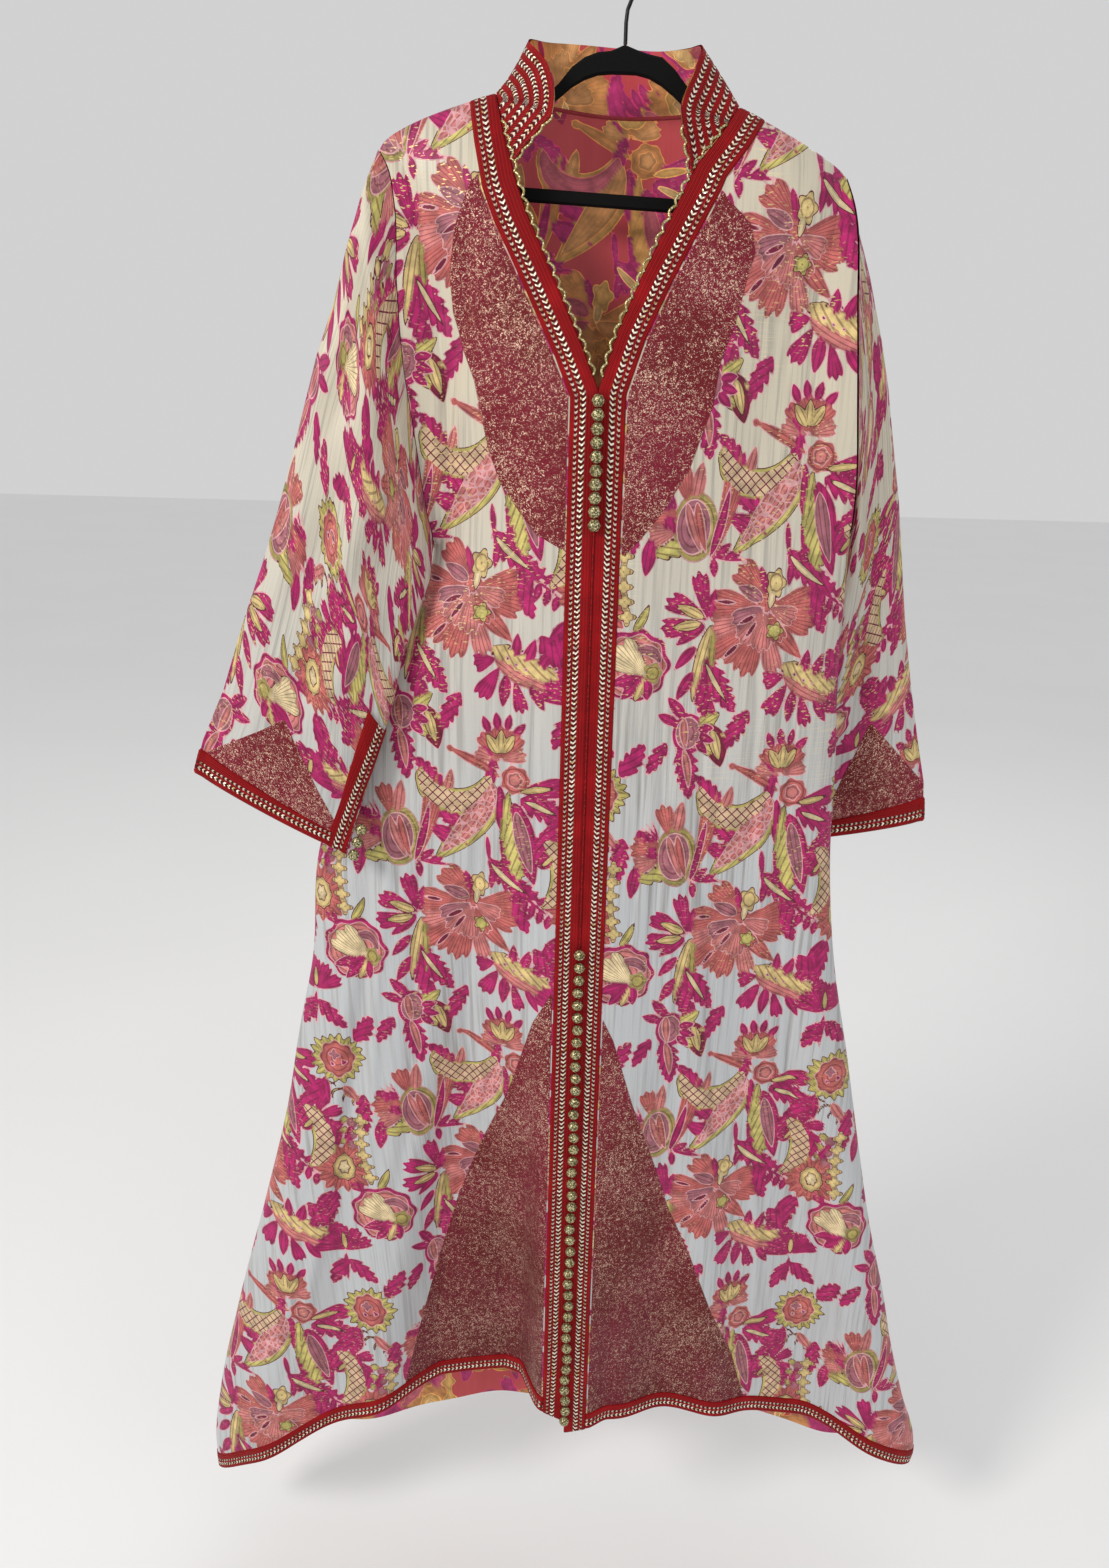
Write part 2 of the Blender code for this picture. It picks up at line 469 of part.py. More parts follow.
def sleeve_rings(outer, inner, hang, armhole, hand):
    """Rings from armhole to cuff. Each starts at the underarm seam and goes over the front."""
    count = len(armhole)
    cuff_step = 1 - CUFF_WIDTH / SLEEVE_LENGTH
    steps = np.concatenate([[0], np.linspace(SLEEVE_HEAD, cuff_step, SLEEVE_STEPS - 1), [1]])
    lengths = np.linalg.norm(np.diff(armhole, axis=0), axis=1)
    head = np.concatenate([[0], np.cumsum(lengths)]) / lengths.sum()
    low = np.concatenate([SLIT_SHARES, np.linspace(*EVEN_COLUMNS, count - 2 * len(SLIT_SHARES)),
                          1 - np.array(SLIT_SHARES)[::-1]])
    rings = [armhole]
    for step in steps[1:]:
        out = along(outer, step)
        inn = along(inner, step)
        forward = float(through(hang, np.array(step), 1))
        half_depth = float(through(hang, np.array(step), 2))
        opening = SLIT_OPEN * max(0.0, (step - SLIT_START) / (1 - SLIT_START))
        turn = np.linspace(-math.pi, math.pi, RING_STEPS)
        middle = (out + inn) / 2
        reach = (out - inn) / 2
        bow = hand * SLEEVE_BOW * max(0.0, 1 - step / BOW_END)
        x = middle[0] + reach[0] * np.cos(turn) + bow * np.sin(turn) ** 2
        z = middle[1] + reach[1] * np.cos(turn)
        y = -forward + half_depth * np.sin(turn)
        apart = GAP / 2 + opening
        y[: len(y) // 2] = np.minimum(y[: len(y) // 2], -forward - apart)
        y[len(y) // 2 + 1:] = np.maximum(y[len(y) // 2 + 1:], -forward + apart)
        loop = np.stack([x, y, z], -1)
        share = smooth(step / EVEN_AFTER)
        rings.append(along(loop, head * (1 - share) + low * share))
    grid = np.array(rings)
    middle_line = grid.mean(axis=1, keepdims=True)
    normals = grid_normals(grid, grid - middle_line)
    inner_line = (grid[:, :1] + grid[:, -1:]) / 2
    seam = unit((inner_line - middle_line)[:, 0] * np.array((1, 0, 1)))
    normals[1:, 0] = seam[1:]
    normals[1:, -1] = seam[1:]
    return grid, normals, steps


def armhole_loop(front, back, column, hand):
    """The armhole edge as a loop: up the front from the underarm, over the shoulder, down the back."""
    shift = np.array((hand * SLEEVE_SHIFT, 0, 0))
    up_front = front[ARM_ROW:0:-1, 0]
    shoulder = (front[0, 0] + back[0, column])[None] / 2
    down_back = back[1:ARM_ROW + 1, column]
    return np.concatenate([up_front, shoulder, down_back]) + shift


def make_sleeve(side, outer, inner, hang, armhole, hand):
    grid, normals, steps = sleeve_rings(outer, inner, hang, armhole, hand)
    add_cloth("sleeve_" + side, grid, normals)
    add_cuff(side, grid, normals, steps)


def add_cuff(side, grid, normals, steps):
    """Braid round the cuff and along both edges of the slit, and the slit's buttons."""
    lift = WALL / 2 + LAY
    slit = int(np.searchsorted(steps, SLIT_START))
    last = grid.shape[1] - 1
    cuff = inset(grid[-2:, EDGE_COLUMNS:last - EDGE_COLUMNS + 1], 0, GAP / 2, GAP / 2, GAP / 2)
    add_cloth("cuff_braid_" + side, cuff, normals[-2:, EDGE_COLUMNS:last - EDGE_COLUMNS + 1],
              "braid", BRAID, lift)
    spans = (("front", slice(0, EDGE_COLUMNS + 1)), ("back", slice(last - EDGE_COLUMNS, last + 1)))
    for name, span in spans:
        strip = inset(grid[slit:, span], 0, GAP / 2, GAP / 2, GAP / 2)
        add_cloth("slit_braid_" + side + "_" + name, strip, normals[slit:, span],
                  "braid", BRAID, lift)
    edge = grid[slit:, 0]
    edge_out = normals[slit:, 0]
    for number, fraction in enumerate(CUFF_BUTTONS, 1):
        spot = along(edge, fraction) + along(edge_out, fraction) * (WALL / 2 + GAP * 2 + BUTTON_R
                                                                    + LAY + BRAID)
        add_button("button_cuff_" + side + "_" + str(number), spot)


def add_button(name, centre):
    """A knotted ball button as a low ball, flatter front to back."""
    rings = np.linspace(0, math.pi, BUTTON_RINGS + 1)[1:-1]
    turn = np.arange(BUTTON_SIDES) * 2 * math.pi / BUTTON_SIDES
    size = np.array((BUTTON_R, BUTTON_DEPTH_R, BUTTON_R))
    ball = np.stack([np.sin(rings)[:, None] * np.cos(turn), np.sin(rings)[:, None] * np.sin(turn),
                     np.cos(rings)[:, None] + 0 * turn], -1)
    poles = np.array(((0, 0, 1), (0, 0, -1)))
    points = np.concatenate([ball.reshape(-1, 3), poles]) * size + centre
    index = np.arange(len(rings) * BUTTON_SIDES).reshape(len(rings), BUTTON_SIDES)
    turned = np.roll(index, -1, axis=1)
    quads = np.stack([index[:-1], index[1:], turned[1:], turned[:-1]], -1).reshape(-1, 4)
    top, bottom = len(points) - 2, len(points) - 1
    caps = [[top, a, b] for a, b in zip(index[0].tolist(), turned[0].tolist())]
    caps += [[bottom, b, a] for a, b in zip(index[-1].tolist(), turned[-1].tolist())]
    return add_object(name, points, quads.tolist() + caps, "gold")


def button_line(grid, normals):
    """Outer face of the front bands along the centre line: z upwards, y there."""
    outer = grid[:, -1] + normals[:, -1] * (WALL / 2 + LAY + BRAID)
    closed = outer[grid[:, -1, 2] < LEFT_OPENING[-2][0] + BAND_JOIN]
    return closed[::-1, 2], closed[::-1, 1]


def add_front_buttons(grid, normals):
    heights, depths = button_line(grid, normals)
    for number, z in enumerate(np.linspace(*TOP_BUTTON_Z, TOP_BUTTONS), 1):
        y = np.interp(z, heights, depths) - GAP - BUTTON_DEPTH_R
        add_button(f"button_{number:02d}", np.array((CENTRE_X, y, z)))
    add_button_row(heights, depths)


def add_button_row(heights, depths):
    """The long row as one string: a round profile that swells at each button."""
    spacing = (LOWER_BUTTON_Z[0] - LOWER_BUTTON_Z[1]) / (LOWER_BUTTONS - 1)
    rings = []
    for number in range(LOWER_BUTTONS):
        middle = LOWER_BUTTON_Z[0] - spacing * number
        for offset, share in ROW_PROFILE:
            z = middle - offset * 2 * BUTTON_R
            radius = ROW_NECK_R + (BUTTON_R - ROW_NECK_R) * share
            turn = (np.arange(ROW_SIDES) + 0.5) * 2 * math.pi / ROW_SIDES
            y = np.interp(z, heights, depths) - GAP - BUTTON_DEPTH_R
            rings.append(np.stack([CENTRE_X + radius * np.cos(turn), y + radius * np.sin(turn)
                                   * BUTTON_DEPTH_R / BUTTON_R, z + 0 * turn], -1))
    add_tube("buttons_lower_row", np.array(rings), "gold")


def add_bands(side, grid, normals):
    """Front band along the open edge, and the hem braid from side seam to band."""
    lift = WALL / 2 + LAY
    band = inset(grid[BAND_TOP_ROW:, -2:], 0, GAP / 2, GAP / 2, 0)
    add_cloth("front_band_" + side, band, normals[BAND_TOP_ROW:, -2:], "braid", BRAID, lift)
    hem = inset(grid[-2:, :-1], 0, GAP / 2, 0, GAP / 2)
    add_cloth("hem_braid_front_" + side, hem, normals[-2:, :-1], "braid", BRAID, lift)


def add_collar(left, left_normals, right, right_normals, back, back_normals):
    """Stand collar on the neck seam: its lower edge follows the panels' own edge points."""
    columns = slice(NECK_COLUMNS[0] + 1, NECK_COLUMNS[1])
    base = np.concatenate([left[COLLAR_ROW:0:-1, -1], left[:1, -1], back[0, columns],
                           right[:1, -1], right[1:COLLAR_ROW + 1, -1]])
    up = np.concatenate([left_normals[COLLAR_ROW:0:-1, -1], left_normals[:1, -1],
                         back_normals[0, columns], right_normals[:1, -1],
                         right_normals[1:COLLAR_ROW + 1, -1]])
    lengths = np.linalg.norm(np.diff(base, axis=0), axis=1)
    fraction = np.concatenate([[0], np.cumsum(lengths)]) / lengths.sum()
    top = np.stack([through(COLLAR_TOP, fraction, column) for column in (1, 2, 3)], -1)
    rise = unit(top - base)
    lift = GAP + WALL / 2 * np.clip(np.abs((up * rise).sum(-1)), 0, 1) + COLLAR_WALL / 2 * np.sqrt(
        np.clip(1 - np.abs((up * rise).sum(-1)) ** 2, 0, 1)) * np.abs((up * rise).sum(-1))
    base = base + rise * (lift[:, None] + LAY)
    middle = base.mean(axis=0)
    out = unit((base - middle) * np.array((1, 1, 0)))
    height = np.linspace(0, 1, COLLAR_ROWS + 1)[:, None, None]
    grid = base + (top - base) * height + out * COLLAR_SPREAD * np.sin(height * math.pi)
    outward = (grid - grid.mean(axis=(0, 1))) * np.array((1, 1, 0))
    normals = grid_normals(grid, outward)
    add_cloth("collar", grid, normals, "braid", COLLAR_WALL)


def hanger_top_line(xs, seam):
    """Upper edge of the hanger: its own arch inside the neck, just under the seams outside it."""
    own = through(HANGER_TOP, xs)
    seam = seam[np.argsort(seam[:, 0])]
    clear = np.interp(np.abs(xs), *np.array(HANGER_CLEAR).T)
    under = np.interp(xs, seam[:, 0], seam[:, 2]) - clear
    inside = (xs > CENTRE_X - LEFT_OPENING[0][1]) & (xs < CENTRE_X + RIGHT_OPENING[0][1])
    return np.where(inside, own, under)


def add_hanger_frame(seam):
    """A flat ring, arch and arms above and bar below, with its long edges taken off."""
    ends = HANGER_TOP[0][0], HANGER_TOP[-1][0]
    xs = np.sort(np.append(np.linspace(*ends, 2 * HANGER_STATIONS), HANGER_TOP[HANGER_PEAK][0]))
    upper = np.stack([xs, hanger_top_line(xs, seam)], -1)
    under_x = np.clip(xs, -HANGER_HOLE, HANGER_HOLE)
    depth = np.interp(np.abs(xs), (0.5 * HANGER_HOLE, HANGER_HOLE), (HANGER_ARM, HANGER_TIP_ARM))
    arch = through(HANGER_UNDER, under_x)
    in_arch = (under_x > HANGER_UNDER[0][0]) & (under_x < HANGER_UNDER[-1][0])
    under_z = np.where(in_arch, arch, hanger_top_line(under_x, seam) - depth)
    bar_x = np.linspace(*ends[::-1], HANGER_STATIONS)
    high_x = np.clip(bar_x, -HANGER_HOLE, HANGER_HOLE)
    low = np.stack([bar_x, HANGER_BAR_Z + HANGER_TILT * bar_x - HANGER_BAR / 2], -1)
    high = np.stack([high_x, HANGER_BAR_Z + HANGER_TILT * high_x + HANGER_BAR / 2], -1)
    outer = np.concatenate([upper, low])
    inner = np.concatenate([np.stack([under_x, under_z], -1), high])
    inwards = unit(inner - outer) * HANGER_ROUND
    flat = HANGER_HALF
    rim = HANGER_HALF - HANGER_ROUND
    corners = ((outer, -rim), (outer + inwards, -flat), (inner - inwards, -flat), (inner, -rim),
               (inner, rim), (inner - inwards, flat), (outer + inwards, flat), (outer, rim))
    section = [np.stack([line[:, 0], 0 * line[:, 0] + y, line[:, 1]], -1) for line, y in corners]
    closed_ring("hanger_frame", np.stack(section, 1), "hanger")


def closed_ring(name, section, colour):
    """Sections joined one after the other and the last to the first."""
    count, sides = section.shape[:2]
    index = np.arange(count * sides).reshape(count, sides)
    after = np.roll(index, -1, axis=0)
    faces = np.stack([index, np.roll(index, -1, axis=1), np.roll(after, -1, axis=1), after], -1)
    faces = faces.reshape(-1, 4)
    points = section.reshape(-1, 3)
    triangles = np.concatenate([faces[:, :3], faces[:, [0, 2, 3]]])
    if np.linalg.det(points[triangles]).sum() < 0:
        faces = faces[:, ::-1]
    return add_object(name, points, faces.tolist(), colour, 30)


def add_hook():
    """Wire hook: a stem on the arch, a bend to one side and a turn over the rail."""
    centre_z = HOOK_WIRE - HOOK_R
    turn = np.radians(np.linspace(*HOOK_TURN, HOOK_POINTS))
    arc = np.stack([HOOK_R * np.cos(turn), 0 * turn, centre_z + HOOK_R * np.sin(turn)], -1)
    stem_x = HANGER_TOP[HANGER_PEAK][0]
    stem = np.array([(stem_x + aside, 0, z) for aside, z in HOOK_STEM])
    route = np.concatenate([stem, arc])
    curve = bpy.data.curves.new("hanger_hook", "CURVE")
    curve.dimensions = "3D"
    curve.bevel_depth = HOOK_WIRE
    curve.bevel_resolution = 2
    curve.use_fill_caps = True
    spline = curve.splines.new("POLY")
    spline.points.add(len(route) - 1)
    for point, place in zip(spline.points, route):
        point.co = (*place, 1)
    curve.materials.append(material("hook"))
    bpy.context.scene.collection.objects.link(bpy.data.objects.new("hanger_hook", curve))


def build():
    clear_scene()
    left, left_n = front_panel(LEFT_SIDE, LEFT_OPENING, LEFT_UNDERARM_Z, NECK_Z_LEFT,
                               LEFT_HEM_Z, LEFT_TIP, LEFT_BOWS, -1)
    right, right_n = front_panel(RIGHT_SIDE, RIGHT_OPENING, RIGHT_UNDERARM_Z, NECK_Z_RIGHT,
                                 RIGHT_HEM_Z, RIGHT_TIP, RIGHT_BOWS, 1)
    back, back_n = back_panel()
    add_cloth("front_left", left, left_n)
    add_cloth("front_right", right, right_n)
    add_cloth("back", back, back_n)
    hem = inset(back[-2:], 0, GAP / 2, 0, 0)
    add_cloth("hem_braid_back", hem, back_n[-2:], "braid", BRAID, WALL / 2 + LAY)
    add_bands("left", left, left_n)
    add_bands("right", right, right_n)
    make_sleeve("left", LEFT_OUTER, LEFT_INNER, LEFT_HANG, armhole_loop(left, back, 0, -1), -1)
    make_sleeve("right", RIGHT_OUTER, RIGHT_INNER, RIGHT_HANG, armhole_loop(right, back, -1, 1), 1)
    add_collar(left, left_n, right, right_n, back, back_n)
    add_front_buttons(left, left_n)
    add_hanger_frame(np.concatenate([left[0], right[0]]))
    add_hook()


build()
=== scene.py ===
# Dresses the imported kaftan: brocade shells, glitter panels, braid, buttons, hanger, floor and light.
# Metres, +Z up, the front faces -Y, the origin is the inner crown of the hanger's hook.
import math

import bpy
import numpy as np
from mathutils import Matrix, Vector


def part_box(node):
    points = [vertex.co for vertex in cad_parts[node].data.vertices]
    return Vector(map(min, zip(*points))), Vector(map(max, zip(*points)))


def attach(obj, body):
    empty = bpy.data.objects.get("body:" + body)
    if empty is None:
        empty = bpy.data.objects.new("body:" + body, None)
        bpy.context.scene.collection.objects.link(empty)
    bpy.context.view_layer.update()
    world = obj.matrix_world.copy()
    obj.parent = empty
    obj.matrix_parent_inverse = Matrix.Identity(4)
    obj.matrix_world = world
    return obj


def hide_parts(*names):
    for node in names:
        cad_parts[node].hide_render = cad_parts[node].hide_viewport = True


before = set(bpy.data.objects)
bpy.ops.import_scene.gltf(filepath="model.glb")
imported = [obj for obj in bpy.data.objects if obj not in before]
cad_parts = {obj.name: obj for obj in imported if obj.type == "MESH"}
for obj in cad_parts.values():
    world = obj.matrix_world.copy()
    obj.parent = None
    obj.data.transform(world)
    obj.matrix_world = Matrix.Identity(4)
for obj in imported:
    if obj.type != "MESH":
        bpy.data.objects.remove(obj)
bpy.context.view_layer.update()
print("frame loaded")

photoCamera = {
    "place": (-0.043831, -1.29, -0.373563),
    "pitch": 18.0,          # degrees down
    "roll": 1.5,
    "lens": 28.699,         # for a sensor 36 mm high
}


def addCamera():
    data = bpy.data.cameras.new("photoCamera")
    data.sensor_fit = "VERTICAL"
    data.sensor_height = 36
    data.lens = photoCamera["lens"]
    camera = bpy.data.objects.new("photoCamera", data)
    bpy.context.scene.collection.objects.link(camera)
    turn = (Matrix.Rotation(math.radians(90 - photoCamera["pitch"]), 4, "X")
            @ Matrix.Rotation(math.radians(photoCamera["roll"]), 4, "Z"))
    camera.matrix_world = Matrix.Translation(Vector(photoCamera["place"])) @ turn
    bpy.context.scene.camera = camera


addCamera()

# The garment's own sizes, in metres. Tables run down the garment.
kaftan = {
    "wall": 0.0014,
    "gap": 0.0003,
    "centreX": -0.012,
    "flatEdge": 0.0011,
    "underarmRow": 0.22,
    "hemRow": 0.985,
    "bandWidth": 0.0265,
    "shoulderRound": 0.030,
    "neckBackDepth": 0.050,
    "neckBackFall": 0.20,
    "neckBackDip": 0.006,
    "armholeHalf": 0.022,
    "backNeck": 0.25,
    "backHemZ": -1.688,
    "backHemBow": 1.9,
    "bowChange": 0.3,
    "holeOut": 0.0013,
    "holeFade": 0.5,          # share of the half width over which the armhole's depth fades
    "squareZ": (-0.32, -0.18),
    "square": (2.2, 6.0),     # power of the half section at these heights
    "turnRun": 0.10,
    "tipRows": (0.93, 0.055),
    "freeRun": 0.03,
    "foldRun": 0.25,
    "seamRun": {"front": 0.06, "back": 0.1},
    # z, half depth in front, half depth behind
    "depths": ((-0.127, 0.012, 0.012), (-0.160, 0.022, 0.020), (-0.200, 0.036, 0.027),
               (-0.300, 0.046, 0.034), (-0.500, 0.050, 0.037), (-0.800, 0.053, 0.041),
               (-1.200, 0.060, 0.052), (-1.500, 0.070, 0.062), (-1.750, 0.080, 0.070)),
    # z, distance from the closed edge to the band's outer edge
    "bandTaper": ((-0.127, 0.024), (-0.200, 0.030), (-0.240, 0.029), (-0.384, 0.0265)),
    # start z, x there, x at the hem, half width there, at the hem, push at the hem
    "frontFolds": ((-0.62, -0.150, -0.125, 0.035, 0.112, 0.080),
                   (-0.45, -0.105, -0.235, 0.022, 0.030, -0.009),
                   (-0.70, -0.215, -0.300, 0.028, 0.042, 0.015),
                   (-0.95, -0.270, -0.385, 0.026, 0.034, -0.008),
                   (-0.75, 0.080, 0.108, 0.028, 0.040, 0.020),
                   (-0.60, 0.120, 0.250, 0.050, 0.140, 0.050),
                   (-0.55, 0.060, 0.180, 0.022, 0.028, -0.009),
                   (-0.80, 0.190, 0.300, 0.025, 0.032, 0.009),
                   (-1.05, 0.250, 0.372, 0.026, 0.030, -0.007)),
    "backFolds": ((-0.55, -0.120, -0.260, 0.034, 0.046, -0.015),
                  (-0.45, -0.020, -0.100, 0.040, 0.050, 0.012),
                  (-0.60, 0.060, 0.055, 0.036, 0.050, -0.016),
                  (-0.50, 0.130, 0.215, 0.034, 0.046, 0.011),
                  (-0.85, 0.200, 0.335, 0.030, 0.040, -0.012),
                  (-0.95, -0.230, -0.375, 0.030, 0.040, 0.010)),
    # z, x, half height, half width, push
    "chestSags": ((-0.300, -0.160, 0.09, 0.030, 0.006), (-0.420, 0.150, 0.12, 0.035, 0.007),
                  (-0.560, -0.100, 0.14, 0.028, 0.006), (-0.600, 0.085, 0.16, 0.030, 0.005)),
}

sides = {
    "left": {
        "hand": -1, "underarmZ": -0.538, "neckZ": -0.127, "hemZ": -1.575, "tip": 0.013,
        "bows": (0.62, 2.2),
        "side": ((-0.176, -0.222), (-0.190, -0.214), (-0.222, -0.207), (-0.290, -0.205),
                 (-0.369, -0.199), (-0.427, -0.190), (-0.503, -0.179), (-0.538, -0.173),
                 (-0.600, -0.188), (-0.680, -0.225), (-0.770, -0.265), (-0.871, -0.300),
                 (-1.008, -0.313), (-1.097, -0.331), (-1.204, -0.350), (-1.314, -0.377),
                 (-1.477, -0.420), (-1.622, -0.453), (-1.698, -0.463), (-1.745, -0.461)),
        "opening": ((-0.127, 0.102), (-0.160, 0.094), (-0.200, 0.082), (-0.230, 0.071),
                    (-0.292, 0.041), (-0.347, 0.015), (-0.384, 0.0), (-1.700, 0.0)),
        "outer": ((-0.222, -0.176), (-0.236, -0.214), (-0.250, -0.262), (-0.263, -0.314),
                  (-0.279, -0.358), (-0.301, -0.438), (-0.320, -0.503), (-0.338, -0.558),
                  (-0.357, -0.610), (-0.381, -0.683), (-0.404, -0.735), (-0.414, -0.770)),
        "inner": ((-0.173, -0.536), (-0.176, -0.571), (-0.189, -0.609), (-0.203, -0.650),
                  (-0.212, -0.696), (-0.262, -0.854)),
        "hang": ((0, 0.0, 0.022), (0.02, 0.009, 0.022), (0.1, 0.022, 0.023),
                 (0.3, 0.038, 0.025), (0.6, 0.050, 0.022), (1, 0.058, 0.014)),
    },
    "right": {
        "hand": 1, "underarmZ": -0.515, "neckZ": -0.133, "hemZ": -1.599, "tip": 0.006,
        "bows": (0.80, 2.5),
        "side": ((-0.189, 0.213), (-0.215, 0.221), (-0.308, 0.231), (-0.398, 0.240),
                 (-0.467, 0.247), (-0.530, 0.249), (-0.685, 0.252), (-0.757, 0.257),
                 (-0.872, 0.262), (-0.990, 0.277), (-1.114, 0.304), (-1.228, 0.328),
                 (-1.346, 0.354), (-1.450, 0.382), (-1.523, 0.399), (-1.597, 0.420),
                 (-1.692, 0.445), (-1.708, 0.442)),
        "opening": ((-0.133, 0.122), (-0.160, 0.104), (-0.187, 0.082), (-0.237, 0.058),
                    (-0.281, 0.037), (-0.331, 0.016), (-0.384, 0.0), (-1.700, 0.0)),
        "outer": ((0.213, -0.189), (0.229, -0.222), (0.250, -0.272), (0.269, -0.328),
                  (0.282, -0.374), (0.295, -0.431), (0.308, -0.487), (0.318, -0.543),
                  (0.331, -0.615), (0.346, -0.687), (0.361, -0.749), (0.374, -0.799),
                  (0.379, -0.846)),
        "inner": ((0.251, -0.513), (0.251, -0.545), (0.244, -0.600), (0.231, -0.685),
                  (0.218, -0.768), (0.207, -0.876)),
        "hang": ((0, 0.0, 0.022), (0.02, -0.009, 0.022), (0.1, -0.022, 0.023),
                 (0.3, -0.040, 0.024), (0.6, -0.056, 0.021), (1, -0.070, 0.017)),
    },
}

# Creases: x and z at the top, x and z at the bottom, half width, push (+ is a trough)
creases = {
    "left": ((-0.060, -0.60, -0.070, -1.02, 0.005, 0.0022), (-0.088, -0.50, -0.100, -0.92, 0.006, 0.0030),
             (-0.118, -0.64, -0.140, -1.30, 0.008, 0.0035), (-0.150, -0.52, -0.170, -0.98, 0.006, 0.0024),
             (-0.168, -0.74, -0.230, -1.45, 0.010, 0.0045), (-0.205, -0.70, -0.262, -1.36, 0.007, -0.0028),
             (-0.235, -0.80, -0.300, -1.52, 0.009, 0.0040), (-0.255, -0.95, -0.345, -1.60, 0.008, -0.0030),
             (-0.285, -1.05, -0.375, -1.66, 0.007, 0.0030), (-0.130, -0.20, -0.165, -0.50, 0.007, 0.0030),
             (-0.165, -0.24, -0.172, -0.46, 0.005, -0.0020), (-0.105, -1.05, -0.190, -1.55, 0.007, -0.0026)),
    "right": ((0.040, -0.56, 0.046, -0.98, 0.004, 0.0020), (0.060, -0.50, 0.072, -1.10, 0.005, 0.0026),
              (0.082, -0.62, 0.098, -1.22, 0.004, -0.0018), (0.104, -0.54, 0.122, -1.02, 0.005, 0.0030),
              (0.124, -0.66, 0.150, -1.34, 0.006, 0.0026), (0.146, -0.40, 0.170, -0.92, 0.005, 0.0028),
              (0.168, -0.66, 0.205, -1.28, 0.005, -0.0022), (0.188, -0.50, 0.224, -1.16, 0.006, 0.0030),
              (0.208, -0.72, 0.262, -1.42, 0.005, 0.0026), (0.226, -0.60, 0.282, -1.30, 0.006, -0.0024),
              (0.205, -0.24, 0.216, -0.62, 0.006, 0.0028), (0.160, -0.22, 0.176, -0.40, 0.004, 0.0016),
              (0.250, -1.10, 0.345, -1.62, 0.007, 0.0030), (0.190, -1.20, 0.250, -1.60, 0.006, -0.0024)),
    "back": ((-0.200, -0.70, -0.300, -1.62, 0.012, -0.0040), (-0.120, -0.40, -0.160, -1.30, 0.010, -0.0036),
             (-0.060, -0.60, -0.080, -1.50, 0.009, 0.0030), (0.020, -0.36, 0.030, -1.20, 0.010, -0.0034),
             (0.090, -0.55, 0.120, -1.55, 0.010, 0.0036), (0.160, -0.40, 0.230, -1.42, 0.011, -0.0040),
             (0.215, -0.80, 0.330, -1.62, 0.009, 0.0030), (-0.160, -0.25, -0.180, -0.62, 0.008, -0.0026)),
}


def smooth(value):   # 3t2 - 2t3 between 0 and 1
    value = np.clip(value, 0, 1)
    return value * value * (3 - 2 * value)


def throughRows(table, where, column=1):   # cubic curve through the rows of a table
    rows = np.array(table, float)
    rows = rows[np.argsort(rows[:, 0])]
    keys, values = rows[:, 0], rows[:, column]
    slopes = np.gradient(values, keys)
    where = np.clip(where, keys[0], keys[-1])
    index = np.clip(np.searchsorted(keys, where) - 1, 0, len(keys) - 2)
    step = keys[index + 1] - keys[index]
    t = (where - keys[index]) / step
    start = (2 * t**3 - 3 * t**2 + 1) * values[index] + (t**3 - 2 * t**2 + t) * step * slopes[index]
    end = (3 * t**2 - 2 * t**3) * values[index + 1] + (t**3 - t**2) * step * slopes[index + 1]
    return start + end


def alongLine(points, shares):   # points at these shares of a polyline's length
    points = np.asarray(points, float)
    lengths = np.concatenate([[0], np.cumsum(np.linalg.norm(np.diff(points, axis=0), axis=1))])
    where = np.asarray(shares) * lengths[-1]
    return np.stack([np.interp(where, lengths, points[:, k]) for k in range(points.shape[1])], -1)


def unit(vectors):
    return vectors / np.maximum(np.linalg.norm(vectors, axis=-1, keepdims=True), 1e-12)


def gridNormals(grid, outward):   # cross product of the grid's two directions, turned outwards as a whole
    normals = unit(np.cross(np.gradient(grid, axis=0), np.gradient(grid, axis=1)))
    return normals * np.sign((normals * outward).sum())


def foldPush(x, z, folds, hemZ):   # sum of bells across x that widen and deepen down to the hem
    push = np.zeros_like(x)
    for startZ, startX, hemX, startHalf, hemHalf, depth in folds:
        down = np.clip((startZ - z) / (startZ - hemZ), 0, 1.1)
        middle = startX + (hemX - startX) * down
        half = startHalf + (hemHalf - startHalf) * down
        push += depth * smooth(down) * np.exp(-((x - middle) / half) ** 2)
    return push


def creasePush(x, z, rows):   # narrow bells across x that fade in and out down their own length
    push = np.zeros_like(x)
    for topX, topZ, lowX, lowZ, half, depth in rows:
        down = (topZ - z) / (topZ - lowZ)
        middle = topX + (lowX - topX) * down + 0.004 * np.sin(down * 9 + topX * 60)
        fade = smooth(down / 0.25) * smooth((1 - down) / 0.35)
        push += depth * fade * np.exp(-((x - middle) / half) ** 2)
    return push


def sagPush(x, z):
    push = np.zeros_like(x)
    for middleZ, middleX, halfZ, halfX, depth in kaftan["chestSags"]:
        push += depth * np.exp(-((x - middleX) / halfX) ** 2 - ((z - middleZ) / halfZ) ** 2)
    return push


